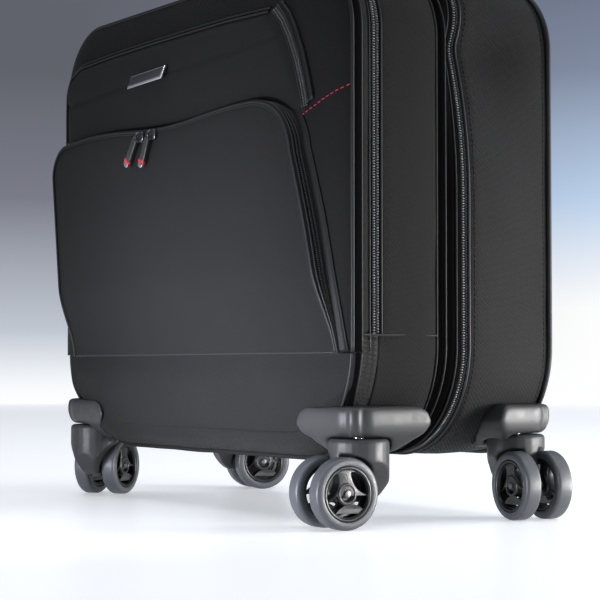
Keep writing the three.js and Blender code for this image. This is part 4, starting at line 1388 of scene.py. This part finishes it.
def painted_backdrop_falloff(n):
    """Painted light on the glowing backdrop: white at the floor and blue-grey above, darker towards the
    left, as the studio's light falls off.
    """
    place_at = n.tree.nodes.new("ShaderNodeSeparateXYZ")
    n.set(place_at, 0, n.object_space())
    x, y, z = place_at.outputs
    left = ((0.0, 1.0, 1.0, 1.0), (0.06, 0.93, 0.95, 0.98), (0.23, 0.53, 0.57, 0.64),
            (0.65, 0.195, 0.2, 0.245), (1.06, 0.12, 0.125, 0.15))
    right = ((0.0, 1.0, 1.0, 1.0), (0.3, 1.0, 1.0, 1.0), (0.65, 0.5, 0.64, 0.84),
             (1.06, 0.22, 0.26, 0.36), (1.5, 0.12, 0.14, 0.2))
    span, ramps = 1.6, []
    for stops in (left, right):  # each stop is a height in metres and its colour
        ramp = n.tree.nodes.new("ShaderNodeValToRGB")
        n.set(ramp, 0, n.math("DIVIDE", z, span))
        while len(ramp.color_ramp.elements) < len(stops):
            ramp.color_ramp.elements.new(0.5)
        for element, (height, *color) in zip(ramp.color_ramp.elements, stops):
            element.position = height / span
            element.color = (*color, 1)
        ramps.append(ramp.outputs[0])
    sideways = n.math("ADD", n.math("MULTIPLY", x, 0.574), n.math("MULTIPLY", y, 0.818))
    return n.mix(n.scale_range(sideways, 0.0, 1.0, (-0.7, 1.0)), *ramps)


def studio():
    """White floor, a glowing blue-grey ground whose painted light falls off upwards, and large soft
    lights near the floor.
    """
    scene = bpy.context.scene
    scene.view_settings.view_transform = "Standard"
    n = Nodes("floor", (0.86, 0.87, 0.89), 0.3, specular=0.35)
    n.set(n.shader, "Emission Color", (0.95, 0.97, 1.0, 1))
    n.set(n.shader, "Emission Strength", 0.35)
    edge = 9000
    corners = [(-edge, -edge, 0), (edge, -edge, 0), (edge, edge, 0), (-edge, edge, 0)]
    floor = new_object("floor", corners, [(0, 1, 2, 3)], n.material, flat=True)
    # The backdrop glows with painted light that is brightest at the floor and falls off upwards and to
    # the left.
    n = Nodes("backdrop", (0, 0, 0), 1.0, specular=0.0)
    n.set(n.shader, "Emission Color", painted_backdrop_falloff(n))
    n.set(n.shader, "Emission Strength", 1.0)
    angles = np.linspace(0, TAU, 97)[:-1]
    radius = 4200
    ring = radius * np.stack([np.cos(angles), np.sin(angles)], axis=1)
    rows = [np.hstack([ring, np.full((96, 1), z)]) for z in (-20, 2600)]
    backdrop = grid("backdrop", rows, n.material, loop=True)

    world = bpy.data.worlds.new("world")
    world.use_nodes = True
    world.node_tree.nodes["Background"].inputs[0].default_value = (0.8, 0.88, 1.0, 1)
    world.node_tree.nodes["Background"].inputs[1].default_value = 0.12
    scene.world = world
    area_light("side_light", (720, 560, 40), (209, 84, 80), 360, 160, 1.9, (1, 0.98, 0.96), 56)
    area_light("front_light", (70, -620, 40), (50, -100, 110), 300, 120, 1.75, (0.9, 0.92, 1.0), 56)
    area_light("top_light", (0, 0, 2500), (0, 0, 0), 3200, 3200, 70, (0.97, 0.98, 1.0))
    area_light("rim_light", (900, 1300, 500), (190, 60, 80), 500, 500, 16, (1, 1, 1))


# ---------------------------------------------------------------- the case

rear_gusset()
back_panel()
front_gusset()
lower_front(lower_gusset())
panel_walls()
front_panel()
zipper("main_zip", "main_zipper", MAIN_ZIP, "front_section", "rear_section")
zipper("laptop_zip", "laptop_zipper", LAPTOP_ZIP, "front_panel", "front_section", LAPTOP_ZIP_END)
seams()
lower_pocket()
upper_pocket()
upper_zipper()
red_stitches()
badge()
corner_hardware()
pull_handle()
soft_parts()
divider()
all_sliders()
camera()
studio()
